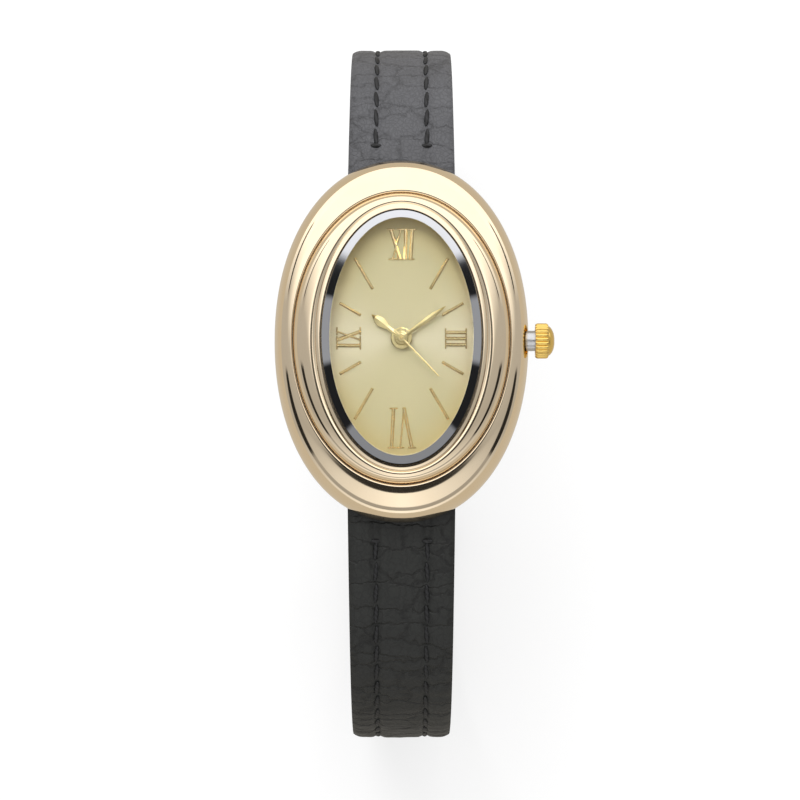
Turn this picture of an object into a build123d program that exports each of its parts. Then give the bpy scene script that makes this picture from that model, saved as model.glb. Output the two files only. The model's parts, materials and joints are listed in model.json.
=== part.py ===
from build123d import *
import os
from math import ceil, cos, hypot, pi, radians, sin

# An oval ladies' wristwatch on a stitched leather strap, in millimetres.
# Up (+Z) is the way the dial faces, +Y is twelve o'clock and +X is the crown.
# The origin is the middle of the case back's outer face.

# Case: half sizes of the oval at each height, from the photograph
case_half_width = 12.1
case_half_length = 17.35
girth_height = 3.2
oval_steps = 12
girth_fullness_share = 0.13
shoulder_fullness_share = 0.08
base_inset = 0.6
shoulder_height = 5.3
shoulder_inset_x = 0.52
shoulder_inset_y = 1.1
crest_height = 6.0
crest_half_width = 10.95
crest_half_length = 14.95
valley_drop = 0.25
valley_half_width = 10.35
valley_half_length = 13.9

# Inside of the case
cavity_half_width = 8.9
cavity_half_length = 12.3
dial_top_height = 5.0
dial_thickness = 0.4
dial_gap = 0.04
overrun = 1.0
peg_sides = 12

# Bezel ring round the glass
bezel_foot_gap = 0.03
bezel_seat_inset = 0.82
bezel_round_drop = 0.32
bezel_round_inset_x = 1.0
bezel_round_inset_y = 0.55
lip_width = 0.56
lip_drop = 0.02

# Glass
glass_half_width = 7.6
glass_half_length = 12.1
glass_edge_thickness = 0.82
glass_bevel_height = 0.53
glass_bevel_width = 0.85
glass_seat_width = 0.25
glass_room = 0.13
glass_gap = 0.03

# Case back, pressed in from below
back_flange_inset = 1.2
back_skirt_gap = 0.03
back_skirt_height = 1.1
back_plate_thickness = 0.6

# Dial furniture
marker_thickness = 0.16
hour_angle = 30
bar_width = 0.28
steep_bar_inner = 5.46
steep_bar_outer = 8.87
shallow_bar_inner = 4.45
shallow_bar_outer = 6.78
numeral_stroke = 0.34
numeral_serif = 0.14
numeral_serif_reach = 0.38
twelve_length = 3.0
twelve_margin = 1.35
twelve_outer_width = 2.92
six_length = 3.87
six_margin = 1.41
six_outer_width = 2.95
nine_length = 2.35
nine_margin = 1.16
nine_height = 2.07
three_length = 2.08
three_margin = 1.15
three_height = 1.73
numeral_taper_share = 0.77
apex_share = 0.4
thin_share = 0.5

# Strokes of each numeral: its foot's and its head's share of the width, and its share of full weight
twelve_shares = ((0.44, 0.15, 1), (0.12, 0.49, thin_share), (0.66, 0.64, 1), (0.88, 0.86, 1))
six_shares = ((apex_share, 0.16, 1), (apex_share, 0.54, thin_share), (0.83, 0.82, 1))
nine_shares = ((0.18, 0.18, 1), (0.84, 0.42, 1), (0.42, 0.84, thin_share))
three_shares = ((0.16, 0.16, 1), (0.5, 0.5, 1), (0.84, 0.84, 1))

# Hands, stacked up the centre
dial_to_hand_gap = 0.35
hand_step = 0.38
hour_hand_length = 3.62
hour_hand_width = 0.95
hour_boss_radius = 1.05
hour_neck_width = 0.42
hour_hand_angle = 308.5
minute_hand_length = 5.17
minute_hand_width = 0.5
minute_boss_radius = 0.63
minute_hand_angle = 54.3
second_hand_length = 5.14
second_hand_width = 0.2
second_boss_radius = 0.4
second_hand_angle = 136.3
hand_thickness = 0.16
hand_ridge = 0.06
hour_neck_share = 0.45
hour_leaf_start_share = 0.62
hour_leaf_end_share = 0.78
minute_root_share = 0.6
minute_leaf_share = 0.7
second_tail_share = 0.2
second_tip_share = 0.7
centre_pin_standout = 0.1

# Train of the quartz movement: centre distances, teeth and modules
running_gap = 0.03
arbor_radius = 0.14
cannon_radius = 0.38
hour_pipe_radius = 0.62
pipe_wall = 0.18
wheel_thickness = 0.12
pinion_thickness = 0.26
centre_teeth = 48
third_pinion_teeth = 6
third_teeth = 45
second_pinion_teeth = 6
second_teeth = 30
step_pinion_teeth = 6
step_teeth = 36
rotor_pinion_teeth = 6
cannon_teeth = 10
minute_teeth = 30
minute_pinion_teeth = 8
hour_teeth = 32
third_distance = 2.25
third_bearing = 135
step_distance = 1.8
step_bearing = 30
rotor_distance = 1.68
rotor_bearing = 80
minute_distance = 1.68
minute_bearing = -30
tooth_top_share = 0.8
tooth_bottom_share = 1.5

# Levels of the movement, from the case back up to the dial
movement_half_width = 6.5
movement_half_length = 7.6
movement_corner = 3.2
holder_gap = 0.05
bridge_bottom = 1.4
bridge_thickness = 0.3
second_wheel_level = 2.05
step_wheel_level = 2.3
third_wheel_level = 2.56
centre_wheel_level = 2.95
plate_bottom = 3.3
motion_floor = 3.92
cannon_level = 3.98
hour_wheel_level = 4.32
plate_top = 4.5
pocket_gap = 0.25

# Battery, coil and electronics
battery_radius = 2.9
battery_height = 2.05
battery_cap_height = 0.25
battery_x = -3.0
battery_y = -4.4
coil_radius = 0.8
coil_length = 4.6
coil_start = -0.1
coil_core_half = 0.3
coil_y = 6.1
stator_thickness = 0.18
stator_hole_gap = 0.15
stator_width = 1.5
stator_leg_width = 0.9
rotor_magnet_radius = 0.5
quartz_radius = 0.75
quartz_length = 4.0
quartz_x = 4.2
quartz_y = -7.1
board_thickness = 0.25
board_left = 0.35
board_top = -1.5
board_margin = 0.8
clamp_width = 1.45
screw_radius = 0.28
screw_head_radius = 0.55
screw_head_height = 0.2
post_radius = 0.55
post_places = ((-3.4, 3.9), (-2.75, -0.8), (3.7, 4.4))

# Crown, stem and setting work
tube_standout = 1.2
crown_skirt = 0.55
crown_band = 1.22
crown_dome = 0.61
crown_radius = 1.69
crown_flutes = 24
crown_flute_depth = 0.13
crown_ridge_share = 0.5
crown_cap_share = 0.6
crown_bore_radius = 1.3
crown_bore_room = 0.2
crown_pull = 0.6
tube_radius = 0.975
tube_bore_radius = 0.5
stem_radius = 0.4
stem_inner = 3.1
stem_square_side = 0.5
stem_neck_half = 0.15
stem_groove_width = 0.44
stem_groove_x = 5.1
clutch_radius = 0.62
clutch_length = 1.0
clutch_inner = 3.3
clutch_teeth = 12
clutch_tooth_depth = 0.14
lever_pin_radius = 0.1
lever_pin_y = -0.34
lever_arm = 2.2
lever_width = 0.7
lever_thickness = 0.15

# Strap pocket under each end of the case, and the spring bars
strap_width = 10.3
pocket_side_gap = 0.12
pocket_wall_y = 13.1
pocket_roof_height = 3.05
bar_y = 14.35
bar_height = 1.6
bar_radius = 0.65
bar_end_gap = 0.05
bar_pin_radius = 0.35
bar_pin_inside = 2.2
bar_pin_reach = 0.55
bar_fit = 0.05
bar_pin_fit = 0.03

# Strap: thickness, taper and the bends of each half
strap_taper = 2.3
strap_thickness = 2.2
strap_tip_thickness = 1.6
lining_share = 0.36
strap_crown = 0.35
strap_edge = 1.1
upper_bend_radii = (26.6, 12.4, 66.4, 14.0, 59.0)
upper_bend_angles = (18, 64, 10, 82, 10)
lower_bend_radii = (39.3, 18.2, 60.6, 14.0, 14.0, 60.0)
lower_bend_angles = (18, 64, 6, 84, 50, 19)
strap_start_angle = 8
strap_station = 3.9
fold_radius = 1.1
hole_count = 7
hole_pitch = 5.0
hole_radius = 0.75
hole_sides = 8
hole_from_tip = 11.0
tip_point = 5.0
tip_bulge_share = 0.68

# Keepers round the buckle half
keeper_width = 3.2
keeper_wall = 0.6
keeper_gap = 0.16
keeper_room = 1.5
fixed_keeper_back = 3.6
free_keeper_back = 8.4

# Pin buckle
buckle_gap = 0.2
buckle_arm_width = 1.0
buckle_height = 1.5
buckle_length = 7.6
buckle_front_width = 1.5
buckle_corner = 1.6
buckle_inner_corner = 0.8
buckle_round = 0.35
buckle_arm_end = 1.1
tongue_width = 1.3
tongue_thickness = 0.55
tongue_rest_gap = 0.02
tongue_collar_width = 1.9
tongue_overhang = 0.4
tongue_tip_share = 0.4
tongue_slot_gap = 0.2
tongue_slot_depth = 2.0

# Heights and sizes that follow from the ones above
strap_tip_width = strap_width - strap_taper
base_height = back_plate_thickness
valley_height = crest_height - valley_drop
bezel_seat_half_width = valley_half_width - bezel_seat_inset
bezel_seat_half_length = valley_half_length - bezel_seat_inset
hour_hand_height = dial_top_height + dial_to_hand_gap
minute_hand_height = hour_hand_height + hand_step
second_hand_height = minute_hand_height + hand_step
centre_pin_top = second_hand_height + hand_thickness + centre_pin_standout
glass_bottom_height = centre_pin_top + glass_room
glass_edge_height = glass_bottom_height + glass_edge_thickness
glass_top_height = glass_edge_height + glass_bevel_height
lip_height = glass_edge_height - lip_drop
bezel_round_height = lip_height - bezel_round_drop
above_all = glass_top_height + overrun
window_half_width = glass_half_width - glass_seat_width
window_half_length = glass_half_length - glass_seat_width
tube_outer = case_half_width + tube_standout
crown_inner = tube_outer - crown_skirt
crown_bore_end = tube_outer + crown_bore_room
crown_rim = crown_inner + crown_band
crown_outer = crown_rim + crown_dome


def at_angle(radius, angle):
    """A point at a distance and a bearing in degrees from +X."""
    return radius * cos(radians(angle)), radius * sin(radians(angle))


def oval_wire(half_width, half_length, height, fullness_share=0):
    """An oval in short straight steps: an ellipse at fullness 0, and squarer as that grows."""
    power = 2 / (2 + fullness_share)
    points = []
    for step in range(4 * oval_steps):
        turn = step * pi / (2 * oval_steps)
        places = []
        for part, half in ((cos(turn), half_width), (sin(turn), half_length)):
            size = half * abs(part) ** power
            places.append(size if part > 0 else -size)
        points.append((*places, height))
    return Wire(Polyline(*points, close=True).edges())


def oval_loft(sections):
    """A solid through ovals given as half width, half length, height and fullness, straight between them."""
    return Solid.make_loft([oval_wire(*section) for section in sections], True)


def oval_block(half_width, half_length, bottom, top):
    """A straight-sided oval block."""
    face = Face(oval_wire(half_width, half_length, bottom))
    return extrude(face, top - bottom, dir=(0, 0, 1))


def cylinder_x(radius, start, end, y, z):
    """A cylinder along X between two places."""
    plane = Plane(origin=(start, y, z), x_dir=(0, 1, 0), z_dir=(1, 0, 0))
    return Solid.make_cylinder(radius, end - start, plane)


def cylinder_z(radius, bottom, top, x=0, y=0):
    """An upright cylinder between two heights."""
    return Solid.make_cylinder(radius, top - bottom, Plane(origin=(x, y, bottom)))


def peg_z(radius, bottom, top, x=0, y=0):
    """A small upright round piece or hole, in flat sides to keep the files light."""
    face = Pos(x, y, bottom) * RegularPolygon(radius, peg_sides)
    return extrude(face, top - bottom, dir=(0, 0, 1))


def peg_x(radius, start, end, y, z):
    """A small round piece or hole along X, in flat sides."""
    plane = Plane(origin=(start, y, z), x_dir=(0, 1, 0), z_dir=(1, 0, 0))
    return extrude(plane * RegularPolygon(radius, peg_sides), end - start, dir=(1, 0, 0))


def block(x0, x1, y0, y1, z0, z1):
    """A box between two corners."""
    return Solid.make_box(x1 - x0, y1 - y0, z1 - z0, Plane(origin=(x0, y0, z0)))


def prism(points, bottom, top):
    """An upright prism over a closed outline of points."""
    face = make_face(Polyline(*[(x, y, bottom) for x, y in points], close=True))
    return extrude(face, top - bottom, dir=(0, 0, 1))


def rounded_plate(half_width, half_length, corner, bottom, top):
    """An upright plate with rounded corners."""
    face = Plane(origin=(0, 0, bottom)) * RectangleRounded(2 * half_width, 2 * half_length, corner)
    return extrude(face, top - bottom)


# Case body: a domed oval with a groove round the bezel and a strap pocket under each end
def case_body():
    shoulder_x, shoulder_y = case_half_width - shoulder_inset_x, case_half_length - shoulder_inset_y
    body = oval_loft(
        [
            (case_half_width - base_inset, case_half_length - base_inset, base_height, girth_fullness_share),
            (case_half_width, case_half_length, girth_height, girth_fullness_share),
            (shoulder_x, shoulder_y, shoulder_height, shoulder_fullness_share),
            (crest_half_width, crest_half_length, crest_height),
            (valley_half_width, valley_half_length, valley_height),
        ]
    )
    body -= oval_block(cavity_half_width, cavity_half_length, base_height - overrun, above_all)
    body -= oval_block(bezel_seat_half_width, bezel_seat_half_length, dial_top_height, above_all)
    half = strap_width / 2 + pocket_side_gap
    reach = case_half_length + overrun
    hole_end = half + bar_pin_reach + bar_pin_fit
    for side in (1, -1):
        near, far = sorted((side * pocket_wall_y, side * reach))
        body -= block(-half, half, near, far, base_height - overrun, pocket_roof_height)
        body -= peg_x(bar_pin_radius + bar_pin_fit, -hole_end, hole_end, side * bar_y, bar_height)
    body -= cylinder_x(tube_radius, 0, case_half_width + overrun, 0, girth_height)
    return body


# Bezel: a half-round ring with a fine lip round the glass and a spigot in the case
def bezel():
    edge_x = valley_half_width - bezel_foot_gap
    edge_y = valley_half_length - bezel_foot_gap
    ring = oval_loft(
        [
            (edge_x, edge_y, valley_height),
            (edge_x - bezel_round_inset_x, edge_y - bezel_round_inset_y, bezel_round_height),
            (glass_half_width + lip_width, glass_half_length + lip_width, lip_height),
        ]
    )
    spigot_x = bezel_seat_half_width - bezel_foot_gap
    spigot_y = bezel_seat_half_length - bezel_foot_gap
    ring += oval_block(spigot_x, spigot_y, dial_top_height, bezel_round_height)
    ring -= oval_block(window_half_width, window_half_length, 0, above_all)
    seat_x = glass_half_width + glass_gap
    seat_y = glass_half_length + glass_gap
    return ring - oval_block(seat_x, seat_y, glass_bottom_height, above_all)


# Glass with a wide polished bevel, bonded into its seat
def crystal():
    flat_x = glass_half_width - glass_bevel_width
    flat_y = glass_half_length - glass_bevel_width
    glass = oval_block(glass_half_width, glass_half_length, glass_bottom_height, glass_edge_height)
    bevel = oval_loft(
        [
            (glass_half_width, glass_half_length, glass_edge_height),
            (flat_x, flat_y, glass_top_height),
        ]
    )
    return glass + bevel


# Case back: a flat oval plate with a skirt that presses into the cavity
def case_back():
    plate = oval_block(case_half_width - back_flange_inset, pocket_wall_y, 0, back_plate_thickness)
    plug_x = cavity_half_width - back_skirt_gap
    plug_y = cavity_half_length - back_skirt_gap
    return plate + oval_block(plug_x, plug_y, back_plate_thickness, back_skirt_height)


# Dial with its applied markers and Roman numerals
def dial():
    bottom = dial_top_height - dial_thickness
    plate = oval_block(
        cavity_half_width - dial_gap, cavity_half_length - dial_gap, bottom, dial_top_height
    )
    return plate - peg_z(hour_pipe_radius + pipe_wall, 0, above_all)


def marker_bar(inner, outer, angle):
    x0, y0 = at_angle(inner, angle)
    x1, y1 = at_angle(outer, angle)
    return stroke(x0, y0, x1, y1, bar_width)


def stroke(x0, y0, x1, y1, width):
    """A raised straight bar on the dial between two points."""
    length = hypot(x1 - x0, y1 - y0)
    side_x = -(y1 - y0) / length * width / 2
    side_y = (x1 - x0) / length * width / 2
    outline = [
        (x0 - side_x, y0 - side_y),
        (x1 - side_x, y1 - side_y),
        (x1 + side_x, y1 + side_y),
        (x0 + side_x, y0 + side_y),
    ]
    return prism(outline, dial_top_height, dial_top_height + marker_thickness)


def dial_markers():
    bars = []
    for side in (0, 180):
        for lean in (-hour_angle, hour_angle):
            bars.append(marker_bar(shallow_bar_inner, shallow_bar_outer, side + lean))
            bars.append(marker_bar(steep_bar_inner, steep_bar_outer, side + 2 * lean))
    return bars


def numeral(shares, window_half, margin, length, width, inner_width):
    """One Roman numeral as footed strokes, its head a margin inside the dial's window."""
    outer = window_half - margin
    inner = outer - length
    shape = None
    for foot, head, weight in shares:
        x0 = (foot - 1 / 2) * inner_width
        x1 = (head - 1 / 2) * width
        pieces = [stroke(x0, inner, x1, outer, weight * numeral_stroke), serif(x1, outer, -1)]
        if foot != apex_share:
            pieces.append(serif(x0, inner, 1))
        for piece in pieces:
            shape = piece if shape is None else shape + piece
    return shape.solids()


def serif(x, y, inward):
    """The short bar across the end of a stroke."""
    y += inward * numeral_serif / 2
    return stroke(x - numeral_serif_reach, y, x + numeral_serif_reach, y, numeral_serif)


def turned(pieces, angle):
    return [Rot(0, 0, angle) * piece for piece in pieces]


def dial_numerals():
    twelve_inner_width = numeral_taper_share * twelve_outer_width
    six_inner_width = numeral_taper_share * six_outer_width
    across, along = window_half_width, window_half_length
    twelve = numeral(
        twelve_shares, along, twelve_margin, twelve_length, twelve_outer_width, twelve_inner_width
    )
    six = numeral(six_shares, along, six_margin, six_length, six_outer_width, six_inner_width)
    nine = numeral(nine_shares, across, nine_margin, nine_length, nine_height, nine_height)
    three = numeral(three_shares, across, three_margin, three_length, three_height, three_height)
    return twelve + turned(six, 180) + turned(nine, 90) + turned(three, -90)


# Hands
def flat_blade(stations, height):
    """A flat hand along +Y through stations of distance and half width."""
    outline = [(half, y) for y, half in stations]
    outline += [(-half, y) for y, half in reversed(stations) if half > 0]
    return prism(outline, height, height + hand_thickness)


def fitted_hand(blade, boss_radius, bore, height, angle):
    """A blade turned to its bearing, with a boss bored to sit on its pipe."""
    boss = peg_z(boss_radius, height, height + hand_thickness + hand_ridge)
    return Rot(0, 0, -angle) * (blade + boss) - peg_z(bore, 0, above_all)


def hour_hand():
    length, half, neck = hour_hand_length, hour_hand_width / 2, hour_neck_width / 2
    stations = (
        (0, neck), (length * hour_neck_share, neck), (length * hour_leaf_start_share, half),
        (length * hour_leaf_end_share, half), (length, 0),
    )
    blade = flat_blade(stations, hour_hand_height)
    return fitted_hand(blade, hour_boss_radius, hour_pipe_radius, hour_hand_height, hour_hand_angle)


def minute_hand():
    length, half = minute_hand_length, minute_hand_width / 2
    stations = ((0, half * minute_root_share), (length * minute_leaf_share, half), (length, 0))
    blade = flat_blade(stations, minute_hand_height)
    return fitted_hand(blade, minute_boss_radius, cannon_radius, minute_hand_height, minute_hand_angle)


def second_hand():
    half = second_hand_width / 2
    length = second_hand_length
    stations = ((-length * second_tail_share, half), (length, half * second_tip_share))
    blade = flat_blade(stations, second_hand_height)
    return fitted_hand(blade, second_boss_radius, arbor_radius, second_hand_height, second_hand_angle)


# Gear train
def wheel(teeth, pitch_radius, bottom, thickness, phase, x=0, y=0):
    """A fine toothed disc, its pointed teeth much thinner than their gaps at the pitch circle."""
    module = 2 * pitch_radius / teeth
    tip = pitch_radius + tooth_top_share * module
    root = pitch_radius - tooth_bottom_share * module
    outline = []
    for corner in range(2 * teeth):
        px, py = at_angle(root if corner % 2 else tip, phase + corner * 180 / teeth)
        outline.append((x + px, y + py))
    return prism(outline, bottom, bottom + thickness)


def pitch_radii(distance, pinion_teeth, wheel_teeth):
    total = pinion_teeth + wheel_teeth
    return distance * pinion_teeth / total, distance * wheel_teeth / total


def meshed_phase(phase, teeth, other_teeth, bearing):
    """The phase of a second wheel whose gap faces the first wheel's tooth along a bearing."""
    offset = phase - bearing
    return bearing + 180 + 180 / other_teeth - offset * teeth / other_teeth


third_x, third_y = at_angle(third_distance, third_bearing)
step_x, step_y = at_angle(step_distance, step_bearing)
rotor_shift_x, rotor_shift_y = at_angle(rotor_distance, rotor_bearing)
rotor_x, rotor_y = step_x + rotor_shift_x, step_y + rotor_shift_y
minute_x, minute_y = at_angle(minute_distance, minute_bearing)

third_pinion_radius, centre_radius = pitch_radii(third_distance, third_pinion_teeth, centre_teeth)
second_pinion_radius, third_radius = pitch_radii(third_distance, second_pinion_teeth, third_teeth)
step_pinion_radius, second_radius = pitch_radii(step_distance, step_pinion_teeth, second_teeth)
rotor_pinion_radius, step_radius = pitch_radii(rotor_distance, rotor_pinion_teeth, step_teeth)
cannon_pinion_radius, minute_radius = pitch_radii(minute_distance, cannon_teeth, minute_teeth)
minute_pinion_radius, hour_radius = pitch_radii(minute_distance, minute_pinion_teeth, hour_teeth)

bridge_top = bridge_bottom + bridge_thickness
train_floor = bridge_top + running_gap
train_roof = plate_bottom - running_gap


def second_wheel():
    """Wheel and pinion of the seconds, whose arbor runs right up to the hand."""
    body = wheel(second_teeth, second_radius, second_wheel_level, wheel_thickness, 0)
    low = third_wheel_level - running_gap
    body += wheel(second_pinion_teeth, second_pinion_radius, low, pinion_thickness, 0)
    return body + peg_z(arbor_radius, train_floor, centre_pin_top)


def third_wheel():
    turn = meshed_phase(0, second_pinion_teeth, third_teeth, third_bearing)
    body = wheel(third_teeth, third_radius, third_wheel_level, wheel_thickness, turn, third_x, third_y)
    low = centre_wheel_level - running_gap
    body += wheel(
        third_pinion_teeth, third_pinion_radius, low, train_roof - low, turn, third_x, third_y
    )
    return body + peg_z(arbor_radius, train_floor, train_roof, third_x, third_y)


def centre_wheel():
    """Centre wheel with the cannon pinion's pipe, which carries the minute hand."""
    turn = meshed_phase(0, second_pinion_teeth, third_teeth, third_bearing)
    turn = meshed_phase(turn, third_pinion_teeth, centre_teeth, third_bearing + 180)
    body = wheel(centre_teeth, centre_radius, centre_wheel_level, wheel_thickness, turn)
    body += wheel(cannon_teeth, cannon_pinion_radius, cannon_level, pinion_thickness, 0)
    body += peg_z(cannon_radius, centre_wheel_level, minute_hand_height + hand_thickness)
    return body - peg_z(arbor_radius + running_gap, 0, above_all)


def minute_wheel():
    turn = meshed_phase(0, cannon_teeth, minute_teeth, minute_bearing)
    body = wheel(minute_teeth, minute_radius, cannon_level, wheel_thickness, turn, minute_x, minute_y)
    low = cannon_level + wheel_thickness
    top = hour_wheel_level + wheel_thickness
    body += wheel(minute_pinion_teeth, minute_pinion_radius, low, top - low, turn, minute_x, minute_y)
    return body - peg_z(arbor_radius + running_gap, 0, above_all, minute_x, minute_y)


def hour_wheel():
    turn = meshed_phase(0, cannon_teeth, minute_teeth, minute_bearing)
    turn = meshed_phase(turn, minute_pinion_teeth, hour_teeth, minute_bearing + 180)
    body = wheel(hour_teeth, hour_radius, hour_wheel_level, wheel_thickness, turn)
    body += peg_z(hour_pipe_radius, hour_wheel_level, hour_hand_height + hand_thickness)
    return body - peg_z(cannon_radius + running_gap, 0, above_all)


def step_wheel():
    turn = meshed_phase(0, second_teeth, step_pinion_teeth, step_bearing)
    body = wheel(step_teeth, step_radius, step_wheel_level, wheel_thickness, turn, step_x, step_y)
    low = second_wheel_level - running_gap
    high = step_wheel_level
    body += wheel(step_pinion_teeth, step_pinion_radius, low, high - low, turn, step_x, step_y)
    return body + peg_z(arbor_radius, train_floor, train_roof, step_x, step_y)


def rotor():
    turn = meshed_phase(0, second_teeth, step_pinion_teeth, step_bearing)
    turn = meshed_phase(turn, step_teeth, rotor_pinion_teeth, rotor_bearing)
    low = step_wheel_level - running_gap
    body = wheel(rotor_pinion_teeth, rotor_pinion_radius, low, pinion_thickness, turn, rotor_x, rotor_y)
    magnet_low = low + pinion_thickness
    body += peg_z(rotor_magnet_radius, magnet_low, centre_wheel_level, rotor_x, rotor_y)
    return body + peg_z(arbor_radius, train_floor, train_roof, rotor_x, rotor_y)


# Movement frame
def main_plate():
    """The movement's plate: motion work pocket above, posts for the bridge and a stem bore below."""
    plate = rounded_plate(
        movement_half_width, movement_half_length, movement_corner, plate_bottom, plate_top
    )
    for x, y in post_places:
        plate += peg_z(post_radius, bridge_top, plate_bottom, x, y)
    bearing_start = stem_groove_x + crown_pull + lever_width / 2 + pocket_gap
    bearing_half = post_radius + stem_radius
    plate += block(
        bearing_start, movement_half_width, -bearing_half, bearing_half,
        girth_height - bearing_half, plate_bottom,
    )
    plate -= cylinder_z(hour_radius + pocket_gap, motion_floor, plate_top + overrun)
    plate -= cylinder_z(minute_radius + pocket_gap, motion_floor, plate_top + overrun, minute_x, minute_y)
    plate += peg_z(arbor_radius, motion_floor, hour_wheel_level + wheel_thickness, minute_x, minute_y)
    plate -= peg_z(cannon_radius + running_gap, 0, above_all)
    plate -= peg_x(stem_radius + running_gap, stem_inner, movement_half_width + overrun, 0, girth_height)
    clutch_end = stem_groove_x + stem_groove_width
    clutch_room = clutch_radius + pocket_gap
    plate -= block(
        stem_inner - running_gap, clutch_end, -clutch_room, clutch_room,
        plate_bottom - overrun, girth_height + clutch_room,
    )
    for x, y in post_places:
        plate -= peg_z(screw_radius, bridge_bottom, plate_bottom, x, y)
    return plate


def train_bridge():
    left, right = post_places[0][0] - post_radius, post_places[2][0] + post_radius
    bottom, top = post_places[1][1] - post_radius, post_places[2][1] + post_radius
    corner = post_radius
    face = Pos((left + right) / 2, (bottom + top) / 2, bridge_bottom) * RectangleRounded(
        right - left, top - bottom, corner
    )
    bridge = extrude(face, bridge_thickness)
    for x, y in post_places:
        bridge -= peg_z(screw_radius + running_gap, 0, plate_bottom, x, y)
    return bridge


def movement_screws():
    screws = []
    for x, y in post_places:
        screw = peg_z(screw_radius, bridge_bottom, plate_bottom - wheel_thickness, x, y)
        head_low = bridge_bottom - screw_head_height
        screws.append(screw + peg_z(screw_head_radius, head_low, bridge_bottom, x, y))
    return screws


def movement_holder():
    """The plastic ring that fills the space between the movement and the case."""
    gap = dial_gap
    low = back_skirt_height
    ring = oval_block(cavity_half_width - gap, cavity_half_length - gap, low, dial_top_height - dial_thickness)
    ring -= rounded_plate(
        movement_half_width + holder_gap, movement_half_length + holder_gap,
        movement_corner, 0, above_all,
    )
    return ring - cylinder_x(tube_radius + running_gap, 0, case_half_width, 0, girth_height)


# Electronics
def battery():
    """A button cell whose smaller negative cap faces the back."""
    top = plate_bottom
    low = top - battery_height
    can = cylinder_z(battery_radius, low + battery_cap_height, top, battery_x, battery_y)
    return can + cylinder_z(battery_radius - battery_cap_height, low, top, battery_x, battery_y)


def battery_clamp():
    """A thin spring strip that presses the cell up to its contact."""
    low = plate_bottom - battery_height - lever_thickness
    half = clamp_width / 2
    left = battery_x - battery_radius
    return block(left, board_left, battery_y - half, battery_y + half, low, low + lever_thickness)


def coil_core(start, end):
    """A length of the flat iron bar that the coil is wound on."""
    half = coil_core_half
    z = plate_bottom - coil_radius
    return block(start, end, coil_y - half, coil_y + half, z - half, z + half)


def coil():
    """The drive coil's winding on its iron core."""
    z = plate_bottom - coil_radius
    end = coil_start + coil_length
    winding = cylinder_x(coil_radius, coil_start, end, coil_y, z)
    return winding - coil_core(coil_start, end)


def stator():
    """The coil's core with two pole pieces that meet round the rotor."""
    left = coil_start - stator_leg_width
    right = coil_start + coil_length + stator_leg_width
    core = coil_core(left, right)
    top = centre_wheel_level - running_gap
    low = top - stator_thickness
    half = stator_width / 2
    plate = block(left, right, rotor_y - half, coil_y + coil_core_half, low, top)
    plate -= block(coil_start, coil_start + coil_length, rotor_y + half, coil_y + coil_radius, 0, plate_top)
    hole = rotor_magnet_radius + stator_hole_gap
    plate -= cylinder_z(hole, 0, above_all, rotor_x, rotor_y)
    return plate + core


def circuit_board():
    z = bridge_bottom - board_thickness / 2
    right = movement_half_width - board_margin
    bottom = -movement_half_length + board_margin
    face = Pos((board_left + right) / 2, (board_top + bottom) / 2, z) * RectangleRounded(
        right - board_left, board_top - bottom, board_margin
    )
    return extrude(face, board_thickness)


def quartz_can():
    z = bridge_bottom + board_thickness / 2 + quartz_radius
    plane = Plane(origin=(quartz_x, quartz_y, z), x_dir=(1, 0, 0), z_dir=(0, 1, 0))
    return Solid.make_cylinder(quartz_radius, quartz_length, plane)


# Crown and setting work
def crown():
    """A fluted crown with a domed cap, hollow where it slides over the tube."""
    root = crown_radius - crown_flute_depth
    step = 360 / crown_flutes
    outline = []
    for flute in range(crown_flutes):
        for share, radius in ((0, crown_radius), (crown_ridge_share, root)):
            y, z = at_angle(radius, (flute + share) * step)
            outline.append((crown_inner, y, girth_height + z))
    rim = make_face(Polyline(*outline, close=True))
    body = extrude(rim, crown_rim - crown_inner, dir=(1, 0, 0))
    cap_plane = Plane(origin=(crown_rim, 0, girth_height), x_dir=(0, 1, 0), z_dir=(1, 0, 0))
    body += Solid.make_cone(root, crown_cap_share * root, crown_outer - crown_rim, cap_plane)
    return body - cylinder_x(crown_bore_radius, crown_inner, crown_bore_end, 0, girth_height)


def crown_tube():
    tube = cylinder_x(tube_radius, cavity_half_width, tube_outer, 0, girth_height)
    return tube - cylinder_x(tube_bore_radius, 0, crown_outer, 0, girth_height)


def stem():
    """A round shaft from the crown, then a thin neck for the lever and a square end for the pinion."""
    neck_start = stem_groove_x - stem_groove_width / 2
    neck_end = stem_groove_x + stem_groove_width / 2
    body = peg_x(stem_radius, neck_end, crown_bore_end, 0, girth_height)
    spans = ((stem_inner, neck_start, stem_square_side / 2), (neck_start, neck_end, stem_neck_half))
    for start, end, half in spans:
        body += block(start, end, -half, half, girth_height - half, girth_height + half)
    return body


def clutch_pinion():
    """A small toothed sleeve, its square bore free to slide on the stem."""
    outline = []
    for corner in range(2 * clutch_teeth):
        radius = clutch_radius - (corner % 2) * clutch_tooth_depth
        y, z = at_angle(radius, corner * 180 / clutch_teeth)
        outline.append((clutch_inner, y, girth_height + z))
    body = extrude(make_face(Polyline(*outline, close=True)), clutch_length, dir=(1, 0, 0))
    half = stem_square_side / 2 + running_gap
    low, high = girth_height - half, girth_height + half
    return body - block(0, crown_inner, -half, half, low, high)


def setting_lever():
    """A pivoted lever whose pin rides in the stem's neck."""
    top = girth_height - stem_radius - running_gap
    low = top - lever_thickness
    pivot_y = lever_pin_y - lever_arm
    half = lever_width / 2
    bar = block(stem_groove_x - half, stem_groove_x + half, pivot_y - half, lever_pin_y + half, low, top)
    bar += peg_z(lever_pin_radius, top, girth_height, stem_groove_x, lever_pin_y)
    return bar + peg_z(arbor_radius, top, plate_bottom, stem_groove_x, pivot_y)


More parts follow.
